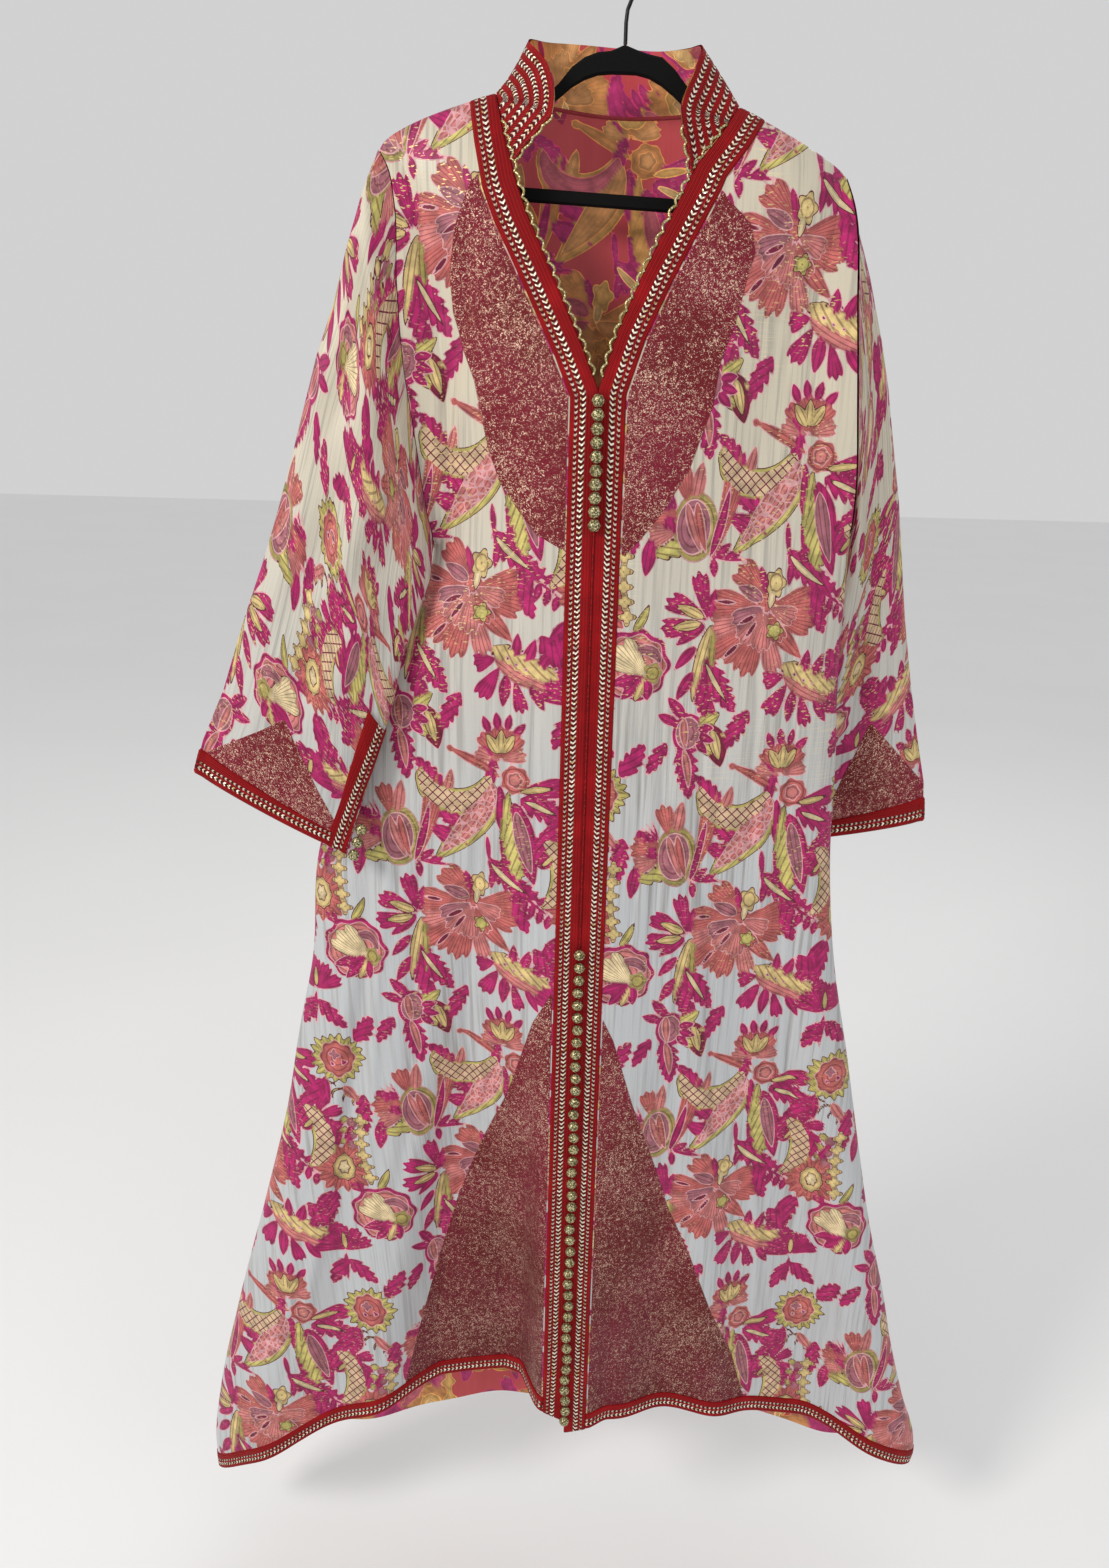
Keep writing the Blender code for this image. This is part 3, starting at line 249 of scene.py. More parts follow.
def bodyDepth(x, z, drop, sideX, topZ, underarmZ, rows, column):
    # half section: level at the armhole, a quarter ellipse at the side seam, rounded over the shoulder
    tau = np.clip((x - sideX) / (kaftan["centreX"] - sideX), 0, 1)
    rounding = np.sqrt(1 - (1 - np.clip(drop / kaftan["shoulderRound"], 0, 1)) ** 2)
    middle, half = (topZ + underarmZ) / 2, (topZ - underarmZ) / 2
    hole = kaftan["flatEdge"] + kaftan["armholeHalf"] * np.sqrt(
        np.clip(1 - ((z - middle) / half) ** 2, 0, 1))
    edge = np.where((z < topZ) & (z > underarmZ), hole, 0)
    edge = edge * (1 - smooth(tau / kaftan["holeFade"]))
    power = np.interp(z, kaftan["squareZ"], kaftan["square"])
    flat = 1 - (1 - tau) ** power
    rounded = np.sqrt(np.clip(1 - (1 - tau) ** 2, 0, 1))
    turn = smooth((underarmZ - z) / kaftan["turnRun"])
    profile = np.where(rows > kaftan["underarmRow"], flat + (rounded - flat) * turn, flat)
    depth = throughRows(kaftan["depths"], z, column) * profile
    return np.maximum(depth, edge) * np.where(rows == 0, 0, rounding), tau


def sideAndCentre(part, rows, hemZ):
    marks = (0, kaftan["underarmRow"], 1)
    sideZ = np.interp(rows, marks, (part["side"][0][0], part["underarmZ"], part["side"][-1][0]))
    return sideZ, part["neckZ"] + (hemZ - part["neckZ"]) * rows


def frontSurface(part, rows, columns, creaseRows=()):
    # rows climb from side to centre; y is minus the depth plus folds; the last column is the open edge
    sideZ, centreZ = sideAndCentre(part, rows, part["hemZ"])
    sideX = throughRows(part["side"], sideZ)
    opening = np.array(part["opening"])
    half = np.interp(-centreZ, -opening[:, 0], opening[:, 1])
    centreX = kaftan["centreX"] + part["hand"] * np.maximum(half, kaftan["gap"] / 2)
    taper = np.array(kaftan["bandTaper"])
    band = np.interp(-centreZ, -taper[:, 0], taper[:, 1])
    edge = (1 - band / np.abs(centreX - sideX))[:, None]
    u = columns[None, :] + 0 * rows[:, None]
    r = rows[:, None] + 0 * u
    bend = (1 - r) * u ** part["bows"][0] + r * (1 - (1 - u) ** part["bows"][1])
    x = sideX[:, None] + (centreX - sideX)[:, None] * u
    z = sideZ[:, None] + (centreZ - sideZ)[:, None] * bend
    tipStart, tipRun = kaftan["tipRows"]
    z -= part["tip"] * np.clip((u - edge) / (1 - edge), 0, 1) * np.clip((r - tipStart) / tipRun, 0, 1)
    sideTop = part["side"][0][0]
    top = sideTop + (part["neckZ"] - sideTop) * u ** part["bows"][0]
    depth, tau = bodyDepth(x, z, top - z, sideX[:, None], sideTop, part["underarmZ"], r, 1)
    push = foldPush(x, z, kaftan["frontFolds"], part["hemZ"]) + sagPush(x, z)
    push += creasePush(x, z, creaseRows)
    free = smooth((np.abs(x - kaftan["centreX"]) - kaftan["bandWidth"]) / kaftan["freeRun"])
    fade = smooth(tau / kaftan["foldRun"]) * smooth((top - z) / kaftan["seamRun"]["front"])
    y = -depth + push * fade * free
    grid = np.stack([x, np.minimum(y, -kaftan["gap"] / 2), z], -1)
    normals = gridNormals(grid, np.array((part["hand"] * 0.3, -1, 0.05)))
    seamTurn(grid, normals, rows > kaftan["underarmRow"], 0, part["hand"])
    return grid, normals, edge[:, 0]


def seamTurn(grid, normals, rows, column, away):   # edge normals point out to the side, in the XZ plane
    line = np.gradient(grid[:, column], axis=0)
    turned = unit(np.cross(line, (0, 1, 0)))
    turned *= np.where(turned[:, :1] * away < 0, -1, 1)
    normals[rows, column] = turned[rows]


def backSurface(rows, columns, creaseRows=()):
    left, right = sides["left"], sides["right"]
    u = columns[None, :] + 0 * rows[:, None]
    r = rows[:, None] + 0 * u
    neckX = (kaftan["centreX"] - left["opening"][0][1], kaftan["centreX"] + right["opening"][0][1])
    leftZ, leftCentre = sideAndCentre(left, rows, kaftan["backHemZ"])
    rightZ, rightCentre = sideAndCentre(right, rows, kaftan["backHemZ"])
    leftX, rightX = throughRows(left["side"], leftZ), throughRows(right["side"], rightZ)
    near = np.minimum(u, 1 - u) * 2
    onLeft = u < 0.5
    sideZ = np.where(onLeft, leftZ[:, None], rightZ[:, None])
    neck = kaftan["backNeck"]
    blend = smooth((u - neck) / (1 - 2 * neck))
    centreZ = leftCentre[:, None] * (1 - blend) + rightCentre[:, None] * blend
    shoulder = np.clip(near / (2 * neck), 0, 1)
    bendTop = shoulder ** np.where(onLeft, left["bows"][0], right["bows"][0])
    bendLow = 1 - (1 - near) ** kaftan["backHemBow"]
    lower = smooth(r / kaftan["bowChange"])
    z = sideZ + (centreZ - sideZ) * ((1 - lower) * bendTop + lower * bendLow)
    inNeck = np.clip((near / 2 - neck) / (0.5 - neck), 0, 1)
    z -= kaftan["neckBackDip"] * smooth(inNeck) * (1 - lower)
    x = leftX[:, None] + (rightX - leftX)[:, None] * u
    topLeft, topRight = left["side"][0][1], right["side"][0][1]
    spread = np.interp(u, (0, neck, 1 - neck, 1), (topLeft, *neckX, topRight))
    x += (spread - (topLeft + (topRight - topLeft) * u)) * (1 - lower)
    sideX = np.where(onLeft, leftX[:, None], rightX[:, None])
    topZ = np.where(onLeft, left["side"][0][0], right["side"][0][0])
    underarm = np.where(onLeft, left["underarmZ"], right["underarmZ"])
    seamNeck = left["neckZ"] * (1 - blend) + right["neckZ"] * blend
    seam = topZ + (seamNeck - topZ) * bendTop - kaftan["neckBackDip"] * smooth(inNeck)
    drop = np.maximum(seam - z, 0)
    depth, tau = bodyDepth(x, z, drop, sideX, topZ, underarm, r, 2)
    middle, half = sum(neckX) / 2, (neckX[1] - neckX[0]) / 2
    stand = kaftan["neckBackDepth"] * np.sqrt(np.clip(1 - ((x - middle) / half) ** 2, 0, 1))
    held = 1 - smooth(drop / kaftan["neckBackFall"])
    y = stand * held + depth * (1 - stand / kaftan["neckBackDepth"] * held)
    push = foldPush(x, z, kaftan["backFolds"], kaftan["backHemZ"]) + creasePush(x, z, creaseRows)
    y += push * smooth(tau / kaftan["foldRun"]) * smooth(drop / kaftan["seamRun"]["back"])
    grid = np.stack([x, np.maximum(y, kaftan["gap"] / 2), z], -1)
    normals = gridNormals(grid, np.array((0, 1, 0.05)))
    low = rows > kaftan["underarmRow"]
    seamTurn(grid, normals, low, 0, -1)
    seamTurn(grid, normals, low, -1, 1)
    return grid, normals


def armholeLoop(front, back, rows, column, hand):   # up the front's edge, down the back's edge
    hole = rows <= kaftan["underarmRow"]
    loop = np.concatenate([front[hole, 0][::-1], back[hole, column][1:]])
    return loop + np.array((hand * kaftan["holeOut"], 0, 0))


sleeveShape = {
    "head": 0.05,             # share of the length that comes out of the armhole
    "slit": (0.56, 0.006),    # share where the slit starts, and half its width at the cuff
    "bow": (0.3, 0.008),      # share and depth of the bow under the armhole
    # depth, waves round, waves down, phase, share that fades them in
    "folds": ((0.0045, 5.2, 9, 0, 0.2), (0.002, 12, -23, 1, 0.3)),
    "foldEnd": 0.25, "foldBehind": 0.8, "foldDepth": 0.022,
}


def sleeveSurface(part, loop, steps, turns):
    # each ring is an ellipse between the outer and inner lines, open at the slit near the cuff
    out = alongLine(part["outer"], steps)
    late = np.maximum(steps, sleeveShape["head"])
    outLate, innLate = alongLine(part["outer"], late), alongLine(part["inner"], late)
    forward = throughRows(part["hang"], late, 1)[:, None]
    depth = throughRows(part["hang"], late, 2)[:, None]
    slit, slitHalf = sleeveShape["slit"]
    opening = slitHalf * np.maximum(0, (steps - slit) / (1 - slit))[:, None]
    middle, reach = (outLate + innLate) / 2, (outLate - innLate) / 2
    bowShare, bowDepth = sleeveShape["bow"]
    bow = part["hand"] * bowDepth * np.maximum(0, 1 - late / bowShare)[:, None]
    x = middle[:, :1] + reach[:, :1] * np.cos(turns) + bow * np.sin(turns) ** 2
    z = middle[:, 1:] + reach[:, 1:] * np.cos(turns)
    y = -forward + depth * np.sin(turns)
    apart = kaftan["gap"] / 2 + opening
    y = np.where(turns < 0, np.minimum(y, -forward - apart), np.maximum(y, -forward + apart))
    # soft folds that run down from the sleeve head and the elbow
    across = np.cos(turns)
    length = np.linalg.norm(out[:, None] - out[:1, None], axis=-1)
    fold = sum(swell * np.sin(across * around + length * down + phase) * smooth(steps / fade)[:, None]
               for swell, around, down, phase, fade in sleeveShape["folds"])
    fold *= (1 - across**2) * np.where(turns < 0, -1, sleeveShape["foldBehind"])
    y += fold * smooth((1 - steps)[:, None] / sleeveShape["foldEnd"]) * depth / sleeveShape["foldDepth"]
    shares = np.where(turns < 0, 0.25 * (1 + across), 1 - 0.25 * (1 + across))
    hole = alongLine(loop, shares)
    share = np.clip(steps / sleeveShape["head"], 0, 1)[:, None, None]
    grid = hole[None] * (1 - share) + np.stack([x, y, z], -1) * share
    line = np.stack([middle[:, 0], -forward[:, 0], middle[:, 1]], -1)[:, None]
    normals = gridNormals(grid, grid - line)
    seam = unit((innLate - outLate) @ np.array(((1, 0, 0), (0, 0, 1))))
    for column in (0, -1):
        if abs(turns[column]) > math.pi - 0.001:
            normals[1:, column] = seam[1:]
    return grid, normals


def gridFaces(rows, columns):
    index = np.arange(rows * columns).reshape(rows, columns)
    return np.stack([index[:-1, :-1], index[1:, :-1], index[1:, 1:], index[:-1, 1:]], -1).reshape(-1, 4)


def meshObject(name, points, faces, material, uv):
    mesh = bpy.data.meshes.new(name)
    points, faces = np.asarray(points, np.float32), np.asarray(faces, np.int32)
    mesh.vertices.add(len(points))
    mesh.vertices.foreach_set("co", points.ravel())
    mesh.loops.add(faces.size)
    mesh.loops.foreach_set("vertex_index", faces.ravel())
    mesh.polygons.add(len(faces))
    mesh.polygons.foreach_set("loop_start", np.arange(len(faces), dtype=np.int32) * faces.shape[1])
    mesh.update(calc_edges=True)
    mesh.validate()
    mesh.shade_smooth()
    if uv is not None:
        layer = mesh.uv_layers.new(name="cloth")
        layer.data.foreach_set("uv", np.asarray(uv, np.float32)[faces.ravel()].ravel())
    mesh.materials.append(material)
    obj = bpy.data.objects.new(name, mesh)
    bpy.context.scene.collection.objects.link(obj)
    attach(obj, "root")
    return obj


def turnedOut(points, faces, normals):   # faces wound so that they face along the grid's normals
    corners = points[faces[:, :3]]
    face = np.cross(corners[:, 1] - corners[:, 0], corners[:, 2] - corners[:, 0])
    if (face * normals[faces[:, 0]]).sum() < 0:
        return faces[:, ::-1]
    return faces


def clothShell(name, grid, normals, lift, material, uv):
    points = (grid + normals * lift).reshape(-1, 3)
    faces = turnedOut(points, gridFaces(*grid.shape[:2]), normals.reshape(-1, 3))
    return meshObject(name, points, faces, material, uv.reshape(-1, 2))


def addNumbers(obj, name, values, kind="FLOAT"):
    layer = obj.data.attributes.new(name, kind, "POINT")
    key = "value" if kind == "FLOAT" else "color"
    layer.data.foreach_set(key, np.asarray(values, np.float32).ravel())


# The brocade's motifs, worked out from functions on the cloth's own millimetres.
threads = {
    "coral": (0.47, 0.115, 0.105), "rose": (0.54, 0.175, 0.165), "magenta": (0.40, 0.013, 0.120),
    "wine": (0.20, 0.010, 0.042), "gold": (0.62, 0.47, 0.20), "cream": (0.72, 0.58, 0.34),
    "mauve": (0.34, 0.12, 0.15), "olive": (0.36, 0.30, 0.09), "lime": (0.52, 0.46, 0.14),
}
reverseThreads = {
    "coral": (0.62, 0.27, 0.09), "rose": (0.66, 0.32, 0.12), "magenta": (0.50, 0.035, 0.17),
    "wine": (0.42, 0.03, 0.09), "gold": (0.74, 0.42, 0.13), "cream": (0.80, 0.52, 0.22),
    "mauve": (0.56, 0.13, 0.17), "olive": (0.58, 0.27, 0.07), "lime": (0.64, 0.33, 0.10),
}
# Under its form, layer and thread, each leaf: x, z, angle, length, half width, curl, in millimetres from
# the peony and degrees. A disc's angle, length, half width and curl are its lobes, radius, lobe depth
# and flattening; an arc's are its start angle, radius, half width and end angle.
motifs = {
    "peony": {
        ("fan", "back", "coral"): ((0, 22, 133, 38, 13, 0.05), (-2, 8, 170, 50, 13, 0.06),
            (0, 0, 224, 58, 13, -0.05), (0, 0, 253, 58, 12, 0.0), (4, 4, 343, 48, 12, 0.05),
            (4, 8, 11, 46, 13, 0.0)),
        ("fan", "back", "rose"): ((-2, 2, 196, 50, 11, 0.0), (2, 0, 281, 55, 9, 0.05)),
        ("petal", "back", "coral"): ((2, 0, 312, 58, 8, 0.05),),
        ("petal", "back", "magenta"): ((0, 22, 100, 28, 5, 0.0),),
        ("fan", "mid", "mauve"): ((0, 10, 203, 34, 9, 0.05),),
        ("fan", "mid", "rose"): ((0, 8, 236, 38, 9, 0.0), (2, 6, 265, 38, 9, 0.0),
            (4, 10, 336, 30, 9, 0.05)),
        ("fan", "mid", "coral"): ((4, 6, 294, 32, 8, 0.05),),
        ("petal", "mid", "mauve"): ((-2, 16, 146, 30, 6, 0.1),),
        ("disc", "top", "gold"): ((11, 34, 5, 10, 0.18, -0.25),),
        ("disc", "top", "coral"): ((12, 36, 0, 3.6, 0, 0),),
        ("petal", "top", "cream"): ((8, 27, 262, 19, 3.4, 0.0),),
        ("disc", "top", "lime"): ((12, -14, 5, 8.5, 0.25, 0),),
        ("disc", "top", "cream"): ((12, -14, 0, 3, 0, 0),),
        ("disc", "back", "coral"): ((1, 12, 0, 13, 0, 0),),
        ("petal", "top", "wine"): ((-8, 2, 205, 22, 2.6, 0.0), (-6, -4, 232, 24, 2.4, 0.0),
            (-30, 14, 174, 22, 2.2, 0.0), (-24, -26, 226, 24, 2.4, 0.0))},
    "filler": {
        ("frond", "back", "magenta"): ((-8, -96, 236, 46, 8, 0.1), (74, -34, 300, 40, 8, 0.1),
            (-30, 140, 120, 42, 8, 0.1), (4, 100, 150, 40, 8, 0.15), (76, 62, 84, 40, 8, -0.1)),
        ("petal", "back", "rose"): ((-26, 136, 70, 30, 5, 0.1),),
        ("petal", "back", "magenta"): ((96, -60, 100, 34, 5, 0.1), (78, 60, 40, 34, 6, 0.15)),
        ("petal", "mid", "gold"): ((80, 62, 40, 24, 2.6, 0.15),)},
    "frond": {
        ("petal", "back", "magenta"): ((20, 94, 276, 34, 3, 0.0), (34, 62, 20, 24, 5, 0.1),
            (28, 56, 262, 26, 4, 0.0)),
        ("frond", "back", "magenta"): ((22, 66, 310, 64, 10, 0.22), (47, 28, 290, 46, 9, 0.05)),
        ("petal", "mid", "cream"): ((24, 62, 308, 50, 3.2, 0.25),)},
    "fern": {
        ("petal", "back", "magenta"): ((48, 34, 327, 58, 2.0, 0.0),
            *((54 + 9 * k, 30 - 6.0 * k, 264, 20 - k, 4.2, -0.1) for k in range(5)),
            *((58 + 9 * k, 30 - 6.0 * k, 36, 15, 3.6, 0.1) for k in range(4)), (94, 4, 330, 16, 4, 0.0))},
    "crest": {
        ("frond", "back", "gold"): ((24, -48, 322, 72, 11, 0.3),),
        ("petal", "back", "rose"): ((26, -58, 319, 68, 8, 0.25),),
        ("fan", "back", "magenta"): ((28, -60, 195, 22, 9, 0.0), (32, -68, 238, 36, 9, 0.0),
            (48, -80, 284, 34, 7, 0.0), (80, -80, 18, 28, 7, 0.0)),
        ("petal", "back", "magenta"): ((40, -76, 262, 34, 6, 0.0), (48, -60, 78, 26, 5, 0.1),
            (58, -66, 62, 29, 5.5, 0.1), (70, -72, 50, 30, 5.5, 0.1), (76, -84, 332, 30, 6, 0.0),
            (64, -86, 302, 30, 5, 0.0)),
        ("disc", "top", "wine"): ((40, -60, 0, 2.4, 0, 0), (50, -66, 0, 2.2, 0, 0), (60, -70, 0, 2, 0, 0))},
    "spray": {
        ("fan", "back", "magenta"): ((-58, -4, 104, 46, 8, 0.0), (-58, -4, 148, 44, 9.5, 0.1),
            (-60, -6, 194, 42, 9.5, -0.1)),
        ("petal", "back", "magenta"): ((-56, -2, 82, 30, 5, 0.0), (-60, -8, 217, 36, 5, 0.0),
            (-68, -30, 230, 32, 5, 0.0), (-68, -56, 240, 34, 5.5, 0.0)),
        ("petal", "mid", "gold"): ((-62, -2, 150, 30, 4.6, 0.1), (-64, -7, 192, 29, 4.6, -0.05)),
        ("petal", "back", "gold"): ((-54, -8, 256, 78, 5.5, 0.06),),
        ("petal", "back", "olive"): ((-51, -10, 270, 66, 4.5, 0.0),),
        ("frond", "back", "magenta"): ((-60, -42, 300, 62, 10, 0.05), (-62, -62, 283, 46, 8, 0.0)),
        ("petal", "mid", "cream"): ((-58, -46, 299, 48, 2.6, 0.05),)},
    "ball": {
        ("disc", "back", "magenta"): ((-131, -50, 9, 37.5, 0.05, 0.02),),
        ("disc", "mid", "rose"): ((-131, -51, 9, 33, 0.05, 0.02),),
        ("fan", "top", "cream"): ((-118, -62, 138, 42, 16, 0.0),),
        ("arc", "top", "mauve"): ((-122, -52, 10, 18, 6, 128),),
        ("disc", "top", "olive"): ((-112, -58, 5, 11, 0.12, 0),),
        ("disc", "top", "gold"): ((-111, -57, 0, 5, 0, 0),),
        ("petal", "top", "magenta"): ((-122, -60, 198, 36, 6, 0.0), (-121, -62, 226, 32, 6, 0.0),
            (-118, -64, 274, 22, 5.5, 0.0)),
        ("petal", "top", "gold"): ((-120, -63, 249, 26, 5, 0.0),),
        ("petal", "back", "lime"): ((-134, -16, 50, 30, 4, 0.2),),
        ("frond", "back", "magenta"): ((-150, -22, 130, 34, 7, 0.1),)},
    "bud": {
        ("petal", "back", "magenta"): ((-74, -98, 270, 24, 3, 0.0), (-76, -106, 122, 28, 5.5, 0.1),
            (-82, -112, 150, 24, 5, 0.1)),
        ("disc", "back", "magenta"): ((-70, -122, 0, 18, 0, -0.2),),
        ("disc", "mid", "mauve"): ((-71, -121, 0, 13, 0, -0.25),),
        ("petal", "top", "rose"): ((-76, -104, 270, 34, 4, 0.1),),
        ("petal", "back", "lime"): ((-60, -130, 330, 32, 6.5, 0.0), (-62, -116, 36, 28, 6.5, 0.0)),
        ("petal", "back", "gold"): ((-58, -124, 0, 30, 6.5, 0.0),),
        ("petal", "top", "magenta"): ((-62, -130, 316, 19, 4.4, 0), (-60, -124, 342, 19, 4.4, 0),
            (-61, -118, 10, 18, 4.4, 0)),
        ("frond", "back", "magenta"): ((-78, -132, 290, 56, 10, -0.15), (-92, -132, 232, 36, 7, 0.1)),
        ("petal", "mid", "rose"): ((-75, -138, 289, 42, 4, -0.15),)},
    "lotus": {
        ("fan", "back", "coral"): ((34, -166, 90, 32, 9, 0.0), (34, -166, 126, 32, 9, 0.0),
            (34, -166, 54, 32, 9, 0.0)),
        ("fan", "back", "rose"): ((34, -168, 162, 27, 7, 0.0), (34, -168, 18, 27, 7, 0.0)),
        ("petal", "mid", "gold"): ((34, -160, 90, 25, 5, 0.0), (32, -160, 122, 24, 5, 0.0),
            (36, -160, 58, 24, 5, 0.0)),
        ("petal", "back", "magenta"): ((22, -138, 112, 19, 4.2, 0), (31, -135, 98, 19, 4.2, 0),
            (40, -136, 76, 19, 4.2, 0), (48, -141, 50, 19, 4.2, 0))},
    "crescent": {
        ("arc", "back", "lime"): ((-14, -178, 180, 37, 15, 354),),
        ("arc", "mid", "mauve"): ((-14, -178, 184, 37, 11, 350),),
        ("petal", "back", "coral"): ((34, -186, 145, 64, 4.6, 0.12),),
        ("disc", "back", "coral"): ((-20, -157, 0, 4.4, 0, 0),),
        ("petal", "back", "lime"): ((27, -194, 252, 100, 15, -0.32), (43, -202, 262, 56, 5.5, 0.05)),
        ("petal", "mid", "rose"): ((26, -192, 252, 92, 11.5, -0.3),),
        ("petal", "back", "magenta"): ((0, -264, 162, 46, 9, -0.1), (-4, -247, 42, 36, 7, 0),
            (-20, -256, 36, 32, 6, 0.0), (33, -194, 272, 50, 5.5, 0), (12, -138, 292, 44, 4, 0.1),
            (26, -166, 262, 42, 5.5, 0.0), (36, -254, 278, 36, 3, 0.0)),
        ("disc", "back", "magenta"): ((37, -258, 0, 4, 0, 0),)},
    "pod": {
        ("disc", "back", "coral"): ((50, -188, 7, 16, 0.06, 0),),
        ("disc", "mid", "rose"): ((50, -188, 5, 9, 0.1, 0),),
        ("petal", "back", "magenta"): ((50, -212, 281, 92, 12, 0.05),),
        ("petal", "mid", "mauve"): ((52, -222, 281, 70, 6.5, 0.05),),
        ("frond", "back", "lime"): ((46, -222, 276, 78, 11, 0.0),),
        ("fan", "back", "magenta"): ((54, -200, 8, 46, 10, 0.0),),
        ("petal", "mid", "gold"): ((56, -200, 8, 36, 3.4, 0.0),),
        ("frond", "back", "magenta"): ((56, -208, 338, 52, 11, 0.0),),
        ("petal", "mid", "cream"): ((60, -210, 338, 38, 2.8, 0.0),)},
    "tulip": {
        ("disc", "back", "olive"): ((-76, 88, 0, 23, 0, -0.34),),
        ("disc", "mid", "mauve"): ((-78, 88, 0, 17.5, 0, -0.36),),
        ("petal", "top", "rose"): ((-86, 112, 284, 50, 4, 0.1),),
        ("petal", "top", "coral"): ((-76, 113, 278, 50, 4, 0.1),),
        ("fan", "back", "coral"): ((-60, 54, 70, 98, 10, 0.12), (-84, 110, 106, 34, 9, 0.0),
            (-90, 98, 172, 34, 11, 0.1)),
        ("petal", "mid", "magenta"): ((-60, 58, 72, 70, 4, 0.08),),
        ("petal", "back", "rose"): ((-78, 112, 82, 38, 6, 0.0),),
        ("fan", "back", "rose"): ((-92, 86, 198, 30, 9, 0.0),),
        ("petal", "back", "magenta"): ((-119, 78, 262, 38, 6.5, 0.0),
            *((-95, 104, 112 + 14 * k, 27, 1.6, 0.0) for k in range(4)), (-58, 60, 350, 40, 2.5, 0.1),
            (-54, 60, 40, 20, 4, 0.0), (-56, 58, 275, 19, 4, 0.0), (-44, 58, 24, 18, 4, 0.0)),
        ("frond", "back", "lime"): ((-118, 60, 14, 56, 7, 0.15),)},
    "clover": {
        ("disc", "mid", "gold"): (
            *((-146 + 0.55 * (k - 2) ** 2, 74 - 15 * k, 4, 7.6, 0.36, 0) for k in range(6)),),
        ("disc", "back", "mauve"): (
            *((-157 + 0.55 * (k - 2) ** 2, 70 - 15 * k, 0, 7.4, 0, 0) for k in range(6)),),
        ("disc", "back", "lime"): (
            *((-166 + 0.55 * (k - 2) ** 2, 76 - 15 * k, 5, 5, 0.1, 0) for k in range(6)),)},
    "drop": {
        ("petal", "back", "wine"): ((-46, -112, 286, 46, 10, 0.0),),
        ("petal", "mid", "gold"): ((-45, -117, 286, 34, 5, 0.0),),
        ("petal", "back", "magenta"): ((-46, -110, 86, 24, 3, 0.1),)},
    "aster": {
        ("petal", "back", "lime"): (
            *((129, -188, k * 20, 31 + 2 * math.cos(k * 1.7), 5.6, 0.0) for k in range(18)),),
        ("disc", "mid", "coral"): ((129, -188, 8, 20, 0.07, -0.12),),
        ("disc", "top", "mauve"): ((126, -183, 4, 6, 0.3, 0),),
        ("disc", "top", "magenta"): ((136, -192, 3, 3.6, 0.3, 0), (123, -195, 3, 3, 0.3, 0)),
        ("frond", "back", "magenta"): ((108, -216, 236, 46, 9, 0.1), (150, -168, 48, 40, 9, 0.1)),
        ("petal", "back", "magenta"): ((112, -212, 268, 34, 5, 0.1),)},
    "daisy": {
        ("petal", "back", "coral"): (*((122, 10, k * 24 + 7, 33, 7.2, 0.0) for k in range(15)),),
        ("disc", "mid", "gold"): ((122, 10, 9, 14, 0.05, -0.25),),
        ("disc", "top", "cream"): ((122, 10, 6, 7, 0.2, -0.25),),
        ("frond", "back", "magenta"): ((108, -20, 248, 44, 8, 0.1), (118, 42, 100, 44, 9, 0.15)),
        ("petal", "back", "magenta"): ((126, 40, 62, 32, 5, 0.1), (104, -18, 222, 32, 5, 0.1))},
    "palmette": {
        ("fan", "back", "magenta"): (*((110, -106, a, 34, 7, 0.0) for a in (30, 62, 92, 124, 158)),),
        ("petal", "back", "magenta"): ((110, -108, 262, 40, 3, 0.1),),
        ("petal", "mid", "gold"): ((110, -104, 92, 24, 3, 0.0),),
        ("frond", "back", "magenta"): ((112, -118, 312, 40, 8, 0.1), (108, -118, 236, 36, 8, 0.1))},
    "upright": {
        ("arc", "back", "lime"): ((60, -292, 300, 44, 14, 62),),
        ("arc", "mid", "mauve"): ((60, -292, 302, 44, 10, 60),),
        ("fan", "back", "magenta"): ((96, -262, 60, 30, 7, 0.0), (98, -264, 22, 30, 7, 0.0),
            (98, -268, 344, 28, 6, 0.0))},
    "lace": {
        ("arc", "back", "lime"): (*((150 - 11 * k, 96 + 7 * k, 30, 9, 1.7, 210) for k in range(4)),),
        ("frond", "back", "magenta"): ((156, 110, 262, 46, 8, 0.1), (172, 118, 300, 44, 8, 0.1)),
        ("petal", "back", "rose"): ((132, 122, 300, 30, 5, 0.1),)},
}
layerNames = ("back", "mid", "top")


def newCanvas(u, v):   # u and v are the cloth's millimetres at each point
    count = u.size
    canvas = {"u": u.ravel(), "v": v.ravel(), "trellis": np.zeros(count)}
    for layer in layerNames:
        canvas[layer] = np.full(count, -6.0)
        canvas[layer + "Tint"] = np.tile((0.5, 0.1, 0.1, 9.0), (count, 1))
    return canvas


def alongPetal(a, b, x, y, angle, length, curl):
    # p runs along the petal and q across it, from an axis bent by curl times the square of the way
    turn = math.radians(angle)
    p = (a - x) * math.cos(turn) + (b - y) * math.sin(turn)
    q = (b - y) * math.cos(turn) - (a - x) * math.sin(turn)
    return p, q - curl * length * np.clip(p / length, 0, 1.2) ** 2


def petalForm(a, b, x, y, angle, length, width, curl):   # half width is a skewed sine of the way along
    p, q = alongPetal(a, b, x, y, angle, length, curl)
    half = width * np.sin(math.pi * np.clip(p / length, 0, 1) ** 0.8) ** 0.75
    past = np.maximum(np.maximum(-p, p - length), 0)
    return half - np.hypot(q, past * 1.5), q


